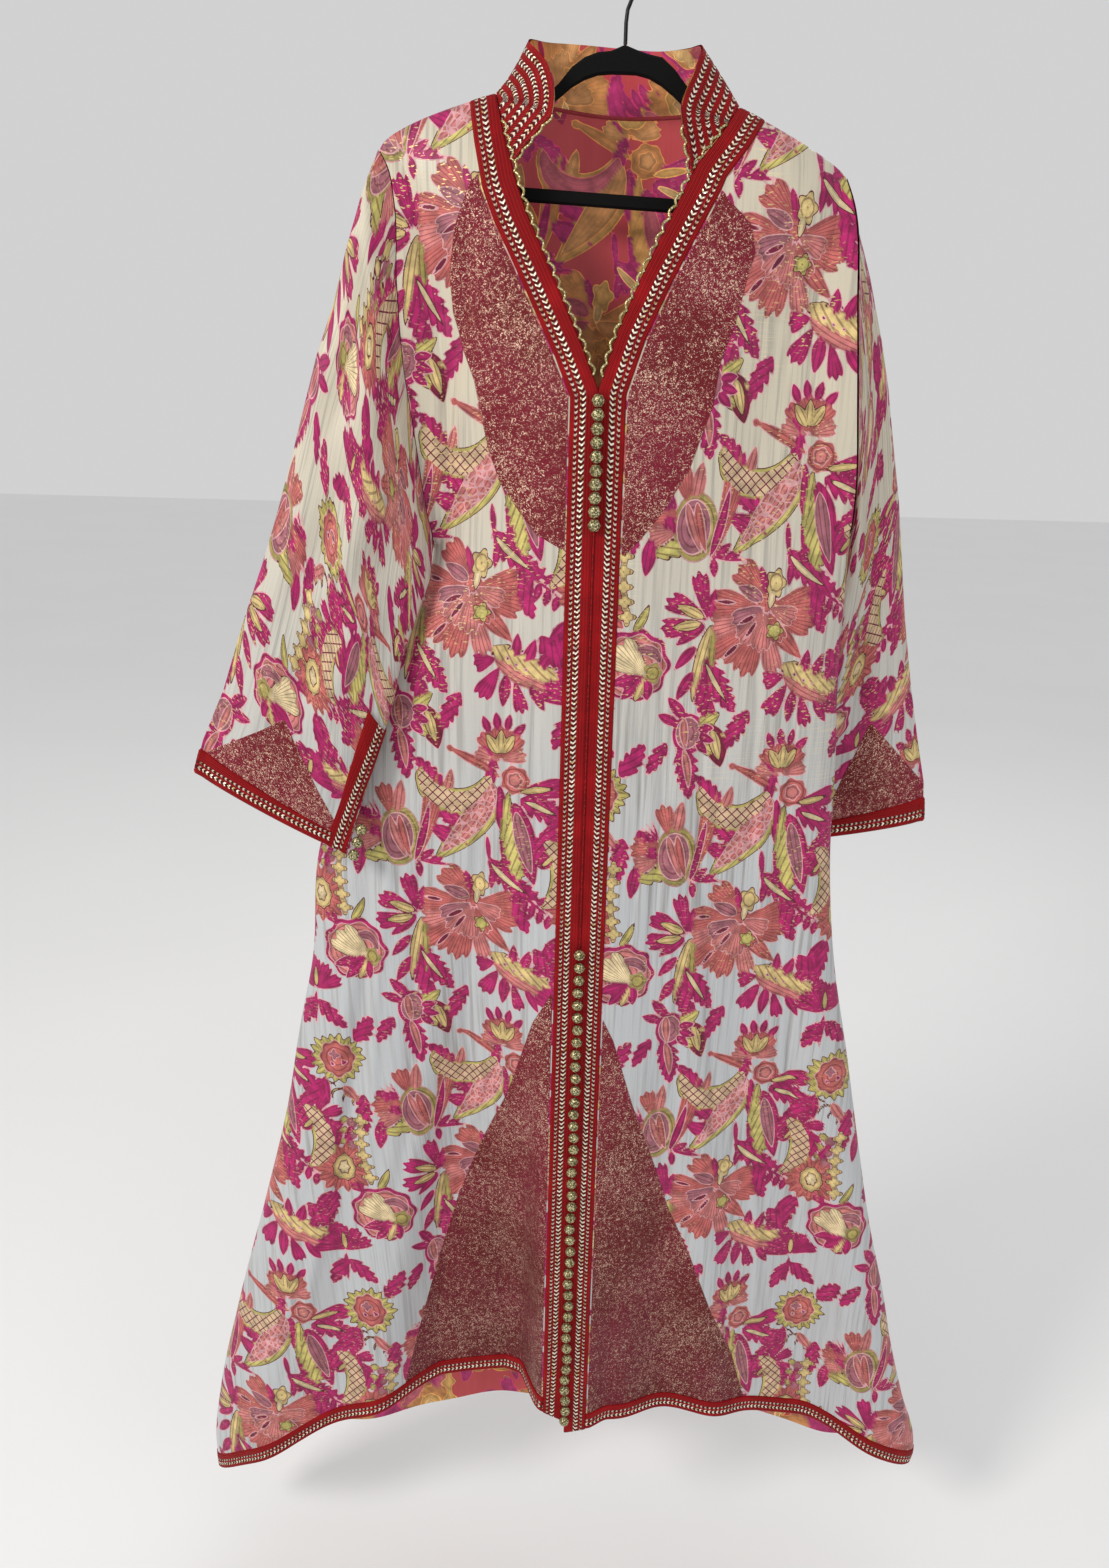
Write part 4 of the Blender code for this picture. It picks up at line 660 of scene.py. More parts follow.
def fanForm(a, b, x, y, angle, length, width, curl):
    # widest near a blunt tip, which three scallops cut; the veins spread from the base
    p, q = alongPetal(a, b, x, y, angle, length, curl)
    reach = length * (1 - 0.13 * (1 - np.abs(np.cos(1.5 * math.pi * np.clip(q / width, -1, 1)))))
    way = np.clip(p / reach, 0, 1)
    half = width * 1.12 * way**0.75 * (1 - way**6) ** 0.5
    past = np.maximum(np.maximum(-p, p - reach), 0)
    field = np.minimum(half - np.abs(q), (reach - p) * 0.9)
    return np.where(past > 0, np.minimum(field, -past), field), q / np.maximum(way, 0.3)


def frondForm(a, b, x, y, angle, length, width, curl):
    # a leaf cut into slanting lobes: a petal whose half width rises and falls every 10.5 millimetres
    p, q = alongPetal(a, b, x, y, angle, length, curl)
    way = np.clip(p / length, 0, 1)
    lobes = np.abs(np.sin((p - 0.8 * np.abs(q)) * math.pi / 10.5 + 0.6 * np.sign(q)))
    half = width * np.sin(math.pi * way**0.85) ** 0.6 * (0.56 + 0.44 * lobes**0.8)
    past = np.maximum(np.maximum(-p, p - length), 0)
    return (half - np.hypot(q, past * 1.5)) * 0.8, q * 0.6 + p * 0.3


def discForm(a, b, x, y, lobes, radius, lobeDepth, flat):
    # radius times one plus a wave round it; flat squeezes it top to bottom
    p, q = a - x, (b - y) * (1 + flat)
    wave = 1 + lobeDepth * np.cos(lobes * np.arctan2(q, p))
    return radius * wave - np.hypot(p, q), np.hypot(p, q) * 0.8 + 2


def arcForm(a, b, x, y, start, radius, width, end):
    # a band round part of a circle, widest halfway and scalloped on its outer side
    angle = np.degrees(np.arctan2(b - y, a - x))
    share = ((angle - start + 720) % 360) / ((end - start) % 360)
    swell = np.sin(math.pi * np.clip(share, 0, 1)) ** 0.5
    distance = np.hypot(a - x, b - y) - radius
    half = width * swell * (1 + 0.10 * np.abs(np.sin(share * 22)) * (distance > 0))
    return np.where(share <= 1, half - np.abs(distance), -6.0), distance + 2


forms = {"petal": petalForm, "fan": fanForm, "frond": frondForm, "disc": discForm, "arc": arcForm}
fullness = {"petal": 1.28, "fan": 1.45, "frond": 1.50, "disc": 1, "arc": 1}   # this much wider than listed
stretch = {"petal": 1.06, "fan": 1.13, "frond": 1.10, "disc": 1, "arc": 1}   # and this much longer


def leavesOf(name):   # form, layer, thread and numbers of each leaf
    return [(*kind, leaf) for kind, leaves in motifs[name].items() for leaf in leaves]


def reachOf(name):   # middle and half size of the square that holds a motif
    spots = []
    for form, _, _, (x, y, angle, length, width, curl) in leavesOf(name):
        turn = math.radians(angle)
        if form in ("disc", "arc"):
            spots += [(x - length - width, y - length - width), (x + length + width, y + length + width)]
        else:
            tip = (x + length * math.cos(turn), y + length * math.sin(turn))
            bend = (tip[0] - curl * length * math.sin(turn), tip[1] + curl * length * math.cos(turn))
            spots += [(x, y), tip, bend]
    spots = np.array(spots)
    return (spots.min(axis=0) + spots.max(axis=0)) / 2, np.ptp(spots, axis=0).max() / 2 + 24


def finishOf(name, form, thread):   # 1 is trellis and 2 is scales, on the middle layer
    if form == "arc" and thread == "mauve":
        return 1.0
    return 2.0 if (name, form, thread) == ("crescent", "petal", "rose") else 0.0


def paintMotif(canvas, name, place, palette):   # at each point a layer keeps the leaf that it lies deepest in
    middle, reach = reachOf(name)
    a, b = canvas["u"] - place[0], canvas["v"] - place[1]
    near = np.flatnonzero((np.abs(a - middle[0]) < reach) & (np.abs(b - middle[1]) < reach))
    if not len(near):
        return
    a, b = a[near], b[near]
    for form, layer, thread, (x, y, angle, length, width, curl) in leavesOf(name):
        field, across = forms[form](a, b, x, y, angle, length * stretch[form], width * fullness[form], curl)
        taken = field > canvas[layer][near]
        spot = near[taken]
        canvas[layer][spot] = field[taken]
        canvas[layer + "Tint"][spot, :3] = palette[thread]
        canvas[layer + "Tint"][spot, 3] = across[taken]
        if layer == "mid":
            canvas["trellis"][spot] = finishOf(name, form, thread)


repeatSize = (292, 345)   # millimetres across and down


def paintRepeats(canvas, origin, palette=threads, size=1.0):
    across, down = repeatSize
    canvas = dict(canvas, u=(canvas["u"] - origin[0]) / size, v=(canvas["v"] - origin[1]) / size)
    low, high = (canvas["u"].min(), canvas["v"].min()), (canvas["u"].max(), canvas["v"].max())
    for column in range(math.floor(low[0] / across) - 1, math.ceil(high[0] / across) + 2):
        for row in range(math.floor(low[1] / down) - 1, math.ceil(high[1] / down) + 2):
            for name in motifs:
                paintMotif(canvas, name, (column * across, row * down), palette)


def storeCanvas(obj, canvas, glitter=None):
    for layer in layerNames:
        addNumbers(obj, layer + "Field", canvas[layer])
        addNumbers(obj, layer + "Tint", canvas[layer + "Tint"], "FLOAT_COLOR")
    addNumbers(obj, "trellis", canvas["trellis"])
    addNumbers(obj, "glitter", np.full(len(canvas["u"]), -9.0) if glitter is None else glitter)


# Outer edges of the glitter panels, as z and x in metres; each fills the cloth in to the front band
glitterPanels = {
    "left": (((-0.190, -0.120), (-0.206, -0.136), (-0.243, -0.150), (-0.282, -0.155), (-0.317, -0.152),
              (-0.350, -0.142), (-0.378, -0.131), (-0.410, -0.124), (-0.441, -0.117), (-0.471, -0.106),
              (-0.499, -0.086), (-0.520, -0.069), (-0.533, -0.045), (-0.539, -0.030)),
             ((-1.005, -0.034), (-1.019, -0.043), (-1.057, -0.061), (-1.165, -0.090), (-1.236, -0.118),
              (-1.318, -0.147), (-1.411, -0.172), (-1.487, -0.191), (-1.566, -0.209), (-1.720, -0.240))),
    "right": (((-0.190, 0.082), (-0.214, 0.100), (-0.236, 0.124), (-0.260, 0.129), (-0.277, 0.124),
               (-0.321, 0.115), (-0.356, 0.103), (-0.397, 0.098), (-0.417, 0.091), (-0.455, 0.079),
               (-0.493, 0.057), (-0.523, 0.034), (-0.538, 0.020)),
              ((-1.020, 0.006), (-1.035, 0.011), (-1.073, 0.029), (-1.157, 0.054), (-1.250, 0.086),
               (-1.308, 0.104), (-1.374, 0.134), (-1.455, 0.164), (-1.525, 0.195), (-1.720, 0.250))),
}


def glitterField(points, side):
    # millimetres inside a panel's edge: the lesser of the way to its outer edge and to its ends
    hand = sides[side]["hand"]
    best = np.full(len(points), -9.0)
    for table in glitterPanels[side]:
        rows = np.array(table)[::-1]
        z = points[:, 2]
        edge = np.interp(z, rows[:, 0], rows[:, 1])
        inside = (edge - points[:, 0]) * hand * 1000
        ends = np.minimum(rows[-1, 0] - z, z - rows[0, 0]) * 1000
        best = np.maximum(best, np.minimum(inside * 0.8, ends + 0.5))
    return np.maximum(best, -9.0)


print("motifs ready")


# Materials. A small helper keeps the node chains short.
class Nodes:
    def __init__(self, name):
        self.material = bpy.data.materials.new(name)
        self.material.use_nodes = True
        self.tree = self.material.node_tree
        self.shader = self.tree.nodes["Principled BSDF"]

    def put(self, socket, value):
        if isinstance(value, bpy.types.NodeSocket):
            self.tree.links.new(value, socket)
        elif isinstance(value, (tuple, list)) and len(value) == 3 and socket.type == "RGBA":
            socket.default_value = (*value, 1)
        else:
            socket.default_value = value

    def math(self, operation, a, b=0.0):
        node = self.tree.nodes.new("ShaderNodeMath")
        node.operation = operation
        self.put(node.inputs[0], a)
        self.put(node.inputs[1], b)
        return node.outputs[0]

    def times(self, a, b):
        return self.math("MULTIPLY", a, b)

    def plus(self, a, b):
        return self.math("ADD", a, b)

    def minus(self, a, b):
        return self.math("SUBTRACT", a, b)

    def away(self, value, middle):   # distance of a value from a middle
        return self.math("ABSOLUTE", self.minus(value, middle))

    def ramp(self, value, low, high, start=0.0, end=1.0):   # smooth step from low to high
        node = self.tree.nodes.new("ShaderNodeMapRange")
        node.interpolation_type = "SMOOTHSTEP"
        for key, number in (("Value", value), ("From Min", low), ("From Max", high),
                            ("To Min", start), ("To Max", end)):
            self.put(node.inputs[key], number)
        return node.outputs[0]

    def mix(self, factor, a, b, blend="MIX"):
        node = self.tree.nodes.new("ShaderNodeMix")
        node.data_type = "RGBA"
        node.blend_type = blend
        self.put(node.inputs[0], factor)
        self.put(node.inputs[6], a)
        self.put(node.inputs[7], b)
        return node.outputs[2]

    def attribute(self, name, output="Fac"):
        node = self.tree.nodes.new("ShaderNodeAttribute")
        node.attribute_name = name
        return node.outputs[output]

    def uv(self):
        node = self.tree.nodes.new("ShaderNodeUVMap")
        node.uv_map = "cloth"
        return node.outputs[0]

    def place(self):
        return self.tree.nodes.new("ShaderNodeTexCoord").outputs["Object"]

    def scaled(self, vector, scale):
        node = self.tree.nodes.new("ShaderNodeMapping")
        self.put(node.inputs["Vector"], vector)
        node.inputs["Scale"].default_value = scale
        return node.outputs[0]

    def noise(self, vector, scale, detail=2.0, rough=0.5, twist=0.0):
        node = self.tree.nodes.new("ShaderNodeTexNoise")
        self.put(node.inputs["Vector"], vector)
        for key, number in (("Scale", scale), ("Detail", detail), ("Roughness", rough), ("Distortion", twist)):
            node.inputs[key].default_value = number
        return node.outputs["Fac"]

    def cells(self, vector, scale, feature="F1"):
        node = self.tree.nodes.new("ShaderNodeTexVoronoi")
        node.feature = feature
        self.put(node.inputs["Vector"], vector)
        node.inputs["Scale"].default_value = scale
        return node.outputs["Distance"]

    def green(self, colour):
        node = self.tree.nodes.new("ShaderNodeSeparateColor")
        self.put(node.inputs[0], colour)
        return node.outputs[1]

    def parts(self, vector):
        node = self.tree.nodes.new("ShaderNodeSeparateXYZ")
        self.put(node.inputs[0], vector)
        return node.outputs

    def bump(self, height, strength, distance):
        node = self.tree.nodes.new("ShaderNodeBump")
        self.put(node.inputs["Height"], height)
        node.inputs["Strength"].default_value = strength
        node.inputs["Distance"].default_value = distance
        return node.outputs[0]

    def finish(self, **values):
        names = {"colour": "Base Color", "rough": "Roughness", "metal": "Metallic", "normal": "Normal",
                 "sheen": "Sheen Weight", "sheenRough": "Sheen Roughness", "specular": "Specular IOR Level"}
        for key, value in values.items():
            self.put(self.shader.inputs[names[key]], value)
        return self.material


brocadeLook = {
    "groundTopPaintedWarmLight": (0.62, 0.56, 0.44), "groundLowPaintedCoolLight": (0.515, 0.528, 0.545), "groundShade": (0.25, 0.235, 0.215),
    "groundGoldThreadSheen": (0.86, 0.70, 0.38), "lurexGlint": (0.80, 0.62, 0.28), "weave": 1.1,   # rib in millimetres
    "outline": (0.66, 0.34, 0.36), "darkOutline": (0.11, 0.010, 0.025),
    "trellis": (0.66, 0.50, 0.30), "trellisLine": (0.15, 0.012, 0.04),
    "reverseLow": (0.50, 0.050, 0.065), "reverseTop": (0.64, 0.095, 0.10), "reverseRim": (1.5, 1.35, 1.2),
    "glitterRed": (0.150, 0.002, 0.006), "glitterMagenta": (0.20, 0.004, 0.022),
    "glitterPale": (0.84, 0.62, 0.47), "glitterCoral": (0.30, 0.055, 0.045), "spark": (0.92, 0.80, 0.62),
}


def groundOf(n, uv, height):   # satin in painted light, warm at the top and cool lower down, with painted crease shade in grey streaks and pools of gold thread whose painted sheen grows towards the top
    look = brocadeLook
    # painted light: the satin turns from warm-lit cream at the top to cool-lit grey-blue lower down
    cloth = n.mix(n.ramp(height, -0.95, -0.35), look["groundLowPaintedCoolLight"], look["groundTopPaintedWarmLight"])
    # painted shade of fine creases: grey streaks down the satin
    creaseShade = n.ramp(n.noise(n.scaled(uv, (190, 5, 1)), 1, 4, 0.6), 0.46, 0.66)
    creaseShade = n.times(creaseShade, n.ramp(n.noise(n.scaled(uv, (14, 3, 1)), 1, 2), 0.34, 0.62, 0.25, 0.62))
    cloth = n.mix(creaseShade, cloth, look["groundShade"])
    # gold thread in pools, with painted sheen that grows towards the top
    pool = n.ramp(n.noise(n.scaled(uv, (9, 3.4, 1)), 1, 3), 0.52, 0.72)
    thread = n.ramp(n.noise(n.scaled(uv, (26, 700, 1)), 1, 2), 0.52, 0.66)
    goldPoolsAndSheen = n.times(pool, n.ramp(height, -1.0, -0.25, 0.10, 0.9))
    return n.mix(n.times(thread, goldPoolsAndSheen), cloth, look["groundGoldThreadSheen"])


def motifOf(n, uv, layer, reverse):   # a layer's colour with veins, shading and outline, and where it shows
    look = brocadeLook
    tint, across = n.attribute(layer + "Tint", "Color"), n.attribute(layer + "Tint", "Alpha")
    field = n.plus(n.attribute(layer + "Field"), n.times(n.minus(n.noise(uv, 420, 1), 0.5), 0.7))
    vein = n.away(n.math("FRACT", n.times(across, 0.21)), 0.5)
    vein = n.times(n.ramp(vein, 0.10, 0.17, 1.0, 0.0), n.ramp(field, 1.2, 2.4))
    body = n.mix(n.times(vein, 0.14 if reverse else 0.56), tint, look["darkOutline"])
    # painted shade near each leaf's edge and painted light deep inside it, as if the leaves were rounded
    body = n.mix(1.0, body, n.ramp(field, 0.5, 7.0, 0.80, 1.14), "MULTIPLY")
    if reverse:
        rim = n.mix(1.0, tint, look["reverseRim"], "MULTIPLY")
    else:
        rim = n.mix(n.ramp(n.green(tint), 0.28, 0.34), look["outline"], look["darkOutline"])
    body = n.mix(n.ramp(field, 0.75, 1.25, 1.0, 0.0), body, rim)
    if layer == "mid" and not reverse:
        body = trellisOver(n, uv, body)
    return body, n.ramp(field, -0.2, 0.2)


def glitterOf(n, uv, height):   # pale worms of thread in clumps on red with painted sparkle, darkened towards the hem as painted shade; where they are pale, and their relief
    look = brocadeLook
    worms = n.noise(uv, 330, 2.5, 0.7, 2.0)
    clumps = n.ramp(n.noise(uv, 210, 2, 0.5, 1.0), 0.36, 0.60, 0.06, -0.035)
    patches = n.ramp(n.noise(uv, 13, 3), 0.32, 0.66, 0.03, -0.03)
    pale = n.ramp(n.plus(worms, n.plus(clumps, patches)), 0.557, 0.582)
    red = n.mix(n.ramp(n.noise(uv, 9, 3), 0.38, 0.64), look["glitterRed"], look["glitterMagenta"])
    paleTone = n.mix(n.ramp(n.noise(uv, 700, 1), 0.40, 0.60), look["glitterCoral"], look["glitterPale"])
    # painted sparkle highlights on the pale threads
    spark = n.ramp(n.noise(uv, 1100, 1), 0.66, 0.72)
    glitter = n.mix(n.times(spark, pale), n.mix(pale, red, paleTone), look["spark"])
    # painted shade: the glitter darkens towards the hem
    return n.mix(1.0, glitter, n.ramp(height, -1.65, -0.95, 0.74, 1.0), "MULTIPLY"), pale, worms


def brocadeMaterial(name, reverse=False):
    # the ground, three layers of motifs, the weave's mottle and gold glints, then the glitter panels
    n, look = Nodes(name), brocadeLook
    uv, height = n.uv(), n.parts(n.place())[2]
    if reverse:
        cloth = n.mix(n.noise(n.scaled(uv, (60, 14, 1)), 1, 3), look["reverseLow"], look["reverseTop"])
    else:
        cloth = groundOf(n, uv, height)
    inMotif = None
    for layer in layerNames:
        body, fill = motifOf(n, uv, layer, reverse)
        cloth = n.mix(fill, cloth, body)
        inMotif = fill if inMotif is None else n.math("MAXIMUM", inMotif, fill)
    weave = n.math("SINE", n.times(n.parts(uv)[1], 6283 / look["weave"]))
    mottle = n.ramp(n.noise(uv, 75, 3), 0.30, 0.68, 0.70, 1.16)
    cloth = n.mix(inMotif, cloth, n.mix(1.0, cloth, mottle, "MULTIPLY"))
    # gold lurex thread shown as painted glints on the motifs, brighter towards the top as painted light
    glint = n.times(n.ramp(n.noise(n.scaled(uv, (190, 480, 1)), 1, 1), 0.60, 0.68), inMotif)
    glint = n.times(glint, n.ramp(n.noise(n.scaled(uv, (20, 12, 1)), 1, 2), 0.40, 0.62))
    glint = n.times(glint, n.ramp(height, -1.2, -0.4, 0.45, 1.0))
    cloth = n.mix(n.times(glint, 0.2 if reverse else 0.85), cloth, look["lurexGlint"])
    crinkle = n.noise(n.scaled(uv, (300, 7, 1)), 1, 3, 0.55)
    crinkle = n.times(crinkle, n.ramp(height, -0.6, -0.3, 1.0, 0.25))
    relief = n.plus(n.times(crinkle, 1.3), n.times(weave, 0.025))
    relief = n.plus(relief, n.times(inMotif, 0.12))
    rough, metal = n.ramp(inMotif, 0, 1, 0.36, 0.5), n.times(glint, 0.6)
    if not reverse:
        glitter, pale, worms = glitterOf(n, uv, height)
        inGlitter = n.ramp(n.attribute("glitter"), -0.5, 0.5)
        cloth = n.mix(inGlitter, cloth, glitter)
        relief = n.plus(relief, n.times(inGlitter, n.times(worms, 2.2)))
        metal = n.math("MAXIMUM", metal, n.times(inGlitter, n.times(pale, 0.55)))
        rough = n.plus(rough, n.times(inGlitter, -0.04))
    return n.finish(colour=cloth, rough=rough, metal=metal, normal=n.bump(relief, 0.55, 0.0011),
                    sheen=0.05, sheenRough=0.4, specular=0.28)


def trellisOver(n, uv, body):
    # two sets of slanting dark lines 7.5 mm apart on pale gold, where the trellis number is 1, and an
    # outline between cells where it is 2
    x, y = n.parts(uv)[0], n.parts(uv)[1]
    lines = None
    for sign in (1, -1):
        slant = n.plus(x, n.times(y, sign))
        wave = n.away(n.math("FRACT", n.times(slant, 94)), 0.5)
        lines = wave if lines is None else n.math("MAXIMUM", lines, wave)
    finish = n.attribute("trellis")
    scaled = n.ramp(finish, 1.4, 1.6)
    marked = n.minus(n.ramp(finish, 0.4, 0.6), scaled)
    body = n.mix(n.times(marked, 0.85), body, brocadeLook["trellis"])
    body = n.mix(n.times(n.ramp(lines, 0.40, 0.44), marked), body, brocadeLook["trellisLine"])
    scales = n.ramp(n.cells(uv, 130, feature="DISTANCE_TO_EDGE"), 0.05, 0.11, 1.0, 0.0)
    return n.mix(n.times(scales, scaled), body, brocadeLook["outline"])


braidLook = {
    "red": (0.36, 0.003, 0.005), "deep": (0.11, 0.0006, 0.002), "gold": (0.56, 0.41, 0.18),
    "glint": (1.0, 0.93, 0.76), "bed": (0.045, 0.002, 0.003), "stitch": 0.0052,
}


def braidMaterial(name, goldLines, slant=1.0, every=None):
    # across is u in metres: red cord, with a zigzag of gold stitches at each gold line (middle, half width);
    # with every, across starts again each time that it reaches that width
    n = Nodes(name)
    uv = n.uv()
    across, down = n.parts(uv)[0], n.parts(uv)[1]
    if every:
        across = n.times(n.math("FRACT", n.math("DIVIDE", across, every)), every)
    # painted shade in the grooves of the cord's twist and between its cords, where the relief sinks
    ply = n.math("SINE", n.times(n.plus(down, n.times(across, 0.6)), 6283 / 1.9))
    colour = n.mix(n.ramp(ply, -0.9, 0.5), braidLook["deep"], braidLook["red"])
    cord = n.math("ABSOLUTE", n.math("SINE", n.times(across, 3142 / 3.1)))
    colour = n.mix(n.ramp(cord, 0.0, 0.45, 0.75, 0.0), colour, braidLook["deep"])
    colour = n.mix(n.ramp(n.noise(uv, 30, 2), 0.45, 0.7, 0, 0.35), colour, (0.46, 0.006, 0.01))
    goldMask = None
    for middle, half, strength in goldLines:
        side = n.minus(across, middle)
        lean = n.times(n.math("ABSOLUTE", side), 0.75 * slant)
        stitch = n.math("FRACT", n.math("DIVIDE", n.plus(down, lean), braidLook["stitch"]))
        stitch = n.ramp(n.away(stitch, 0.5), 0.17, 0.24, 1.0, 0.0)
        inside = n.ramp(n.math("ABSOLUTE", side), half * 0.85, half, 1.0, 0.0)
        colour = n.mix(n.times(inside, 0.8), colour, braidLook["bed"])
        mask = n.times(n.times(stitch, inside), strength)
        goldMask = mask if goldMask is None else n.math("MAXIMUM", goldMask, mask)
    worn = n.ramp(n.noise(uv, 160, 1), 0.32, 0.48, 0.40, 1.0)
    goldMask = n.times(goldMask, worn)
    # painted glints on the gold stitches
    shine = n.ramp(n.noise(uv, 220, 1), 0.36, 0.48)
    gold = n.mix(shine, braidLook["gold"], braidLook["glint"])
    colour = n.mix(goldMask, colour, gold)
    relief = n.plus(n.times(ply, 0.25), n.times(cord, 0.8))
    relief = n.plus(relief, goldMask)
    return n.finish(colour=colour, rough=n.ramp(goldMask, 0, 1, 0.62, 0.32), metal=n.times(goldMask, 0.5),
                    normal=n.bump(relief, 0.7, 0.0007), sheen=0.02, sheenRough=0.5, specular=0.14)


def goldMaterial(name, dark=0.5):
    n = Nodes(name)
    place = n.place()
    # painted shade between the strands, darker towards the cells' edges; dark scales the colour of that shade
    strand = n.cells(place, 520)
    tone = n.mix(n.ramp(strand, 0.15, 0.6), (0.76, 0.68, 0.34), (0.20 * dark, 0.16 * dark, 0.05 * dark))
    # painted glints on the gold
    tone = n.mix(n.ramp(n.noise(place, 900, 1), 0.60, 0.68), tone, (0.90, 0.86, 0.62))
    return n.finish(colour=tone, rough=0.36, metal=0.55, normal=n.bump(strand, 0.8, 0.0006), specular=0.5)


def blackMaterial(name, rough, sheen):
    n = Nodes(name)
    nap = n.noise(n.place(), 900, 3)
    colour = n.mix(nap, (0.002, 0.002, 0.002), (0.006, 0.006, 0.006))
    return n.finish(colour=colour, rough=rough, normal=n.bump(nap, 0.3, 0.0003), sheen=sheen, specular=0.12)


brocade = brocadeMaterial("brocadeFace")
brocadeReverse = brocadeMaterial("brocadeReverse", reverse=True)
bandBraid = braidMaterial("bandBraid", ((0.0064, 0.0016, 0.62), (0.0130, 0.0030, 1.0)))
hemBraid = braidMaterial("hemBraid", ((0.0078, 0.0023, 1.0), (0.0134, 0.0014, 0.6)))
collarBraid = braidMaterial("collarBraid", ((0.0074, 0.0025, 1.0),), every=0.0098)
knotGold = goldMaterial("knotGold")
cordGold = goldMaterial("cordGold", 1.4)
velvetBlack = blackMaterial("velvetBlack", 0.8, 0.0)
hookWire = blackMaterial("hookWire", 0.35, 0.0)
print("materials ready")

# Cloth pieces
fine = {"rows": 560, "columns": 160, "backRows": 360, "backColumns": 258, "sleeveRows": 230,
        "sleeveColumns": 152, "crowd": 1.1, "reverseGap": 0.0008,
        "bare": 1.4, "lean": 3,   # millimetres of bare cloth beside the band, degrees of a sleeve's pattern
        # where each pattern starts, in millimetres
        "left": (-136, -586), "right": (165, -598), "back": (14, -598), "backReverse": (-20, -330),
        "sleeveLeft": (62, -86), "sleeveRight": (-60, -96), "sleeveReverse": (0, -400)}


def fineRows(count):   # even rows, with a few more where the cloth rounds off the shoulder
    return np.unique(np.concatenate([[0, 0.0005, 0.0012, 0.0022, 0.0035], np.linspace(0, 1, count)]))


def clothUv(x, z):
    return np.stack([x, z], -1)


def acrossCloth(grid, column):   # x of this column, then the level way along each row of the cloth
    steps = np.hypot(np.diff(grid[..., 0], axis=1), np.diff(grid[..., 1], axis=1))
    way = np.pad(np.cumsum(steps, axis=1), ((0, 0), (1, 0))) * np.sign(grid[-1, -1, 0] - grid[-1, 0, 0])
    return way - way[:, column][:, None] + grid[:, column, 0][:, None]


def reverseShell(name, grid, normals, step, origin):
    # a coarser single layer on the inner side of the wall, with the brocade's reverse
    rows = np.unique(np.concatenate([np.arange(0, grid.shape[0], step[0]), [grid.shape[0] - 1]]))
    columns = np.unique(np.concatenate([np.arange(0, grid.shape[1], step[1]), [grid.shape[1] - 1]]))
    part, facing = grid[np.ix_(rows, columns)], normals[np.ix_(rows, columns)]
    uv = clothUv(part[..., 0], part[..., 2])
    obj = clothShell(name, part, -facing, kaftan["wall"] / 2 + fine["reverseGap"], brocadeReverse, uv)
    canvas = newCanvas(part[..., 0] * 1000, part[..., 2] * 1000)
    paintRepeats(canvas, origin, reverseThreads)
    storeCanvas(obj, canvas)
    return obj


def makeFronts(rows):
    made = {}
    for side in ("left", "right"):
        part = sides[side]
        columns = np.linspace(0, 1, fine["columns"]) ** fine["crowd"]
        grid, normals, edge = frontSurface(part, rows, columns, creases[side])
        clothX = acrossCloth(grid, -1)
        uv = clothUv(clothX, grid[..., 2])
        obj = clothShell("frontCloth" + side.title(), grid, normals, kaftan["wall"] / 2, brocade, uv)
        canvas = newCanvas(clothX * 1000, grid[..., 2] * 1000)
        paintRepeats(canvas, fine[side])
        width = np.abs(grid[:, -1:, 0] - grid[:, :1, 0])
        away = (edge[:, None] - columns[None]) * width * 1000 - fine["bare"]
        storeCanvas(obj, canvas, np.minimum(glitterField(grid.reshape(-1, 3), side), away.ravel()))
        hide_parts("front_" + side)
        inside = reverseShell("frontReverse" + side.title(), grid, normals, (4, 2), fine[side])
        made[side] = {"grid": grid, "edge": edge, "cloth": obj, "reverse": inside}
    return made


rows = fineRows(fine["rows"])
fronts = makeFronts(rows)
print("fronts made")

backRows = fineRows(fine["backRows"])
backColumns = np.linspace(0, 1, fine["backColumns"])
backGrid, backNormals = backSurface(backRows, backColumns, creases["back"])
backX = -acrossCloth(backGrid, fine["backColumns"] // 2)
backCloth = clothShell("backCloth", backGrid, backNormals, kaftan["wall"] / 2, brocade,
                       clothUv(backX, backGrid[..., 2]))
backCanvas = newCanvas(backX * 1000, backGrid[..., 2] * 1000)
paintRepeats(backCanvas, fine["back"])
storeCanvas(backCloth, backCanvas)
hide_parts("back")


def makeBackReverse():
    # fine where it shows through the neck, coarse below
    top = np.linspace(0, 0.24, 130)
    low = np.linspace(0.24, 1, 120)[1:]
    some = np.unique(np.concatenate([[0.0012, 0.0035], top, low]))
    columns = np.linspace(0, 1, 190)
    grid, normals = backSurface(some, columns, creases["back"])
    return reverseShell("backReverse", grid, normals, (1, 1), fine["backReverse"])


backReverse = makeBackReverse()
print("back made")


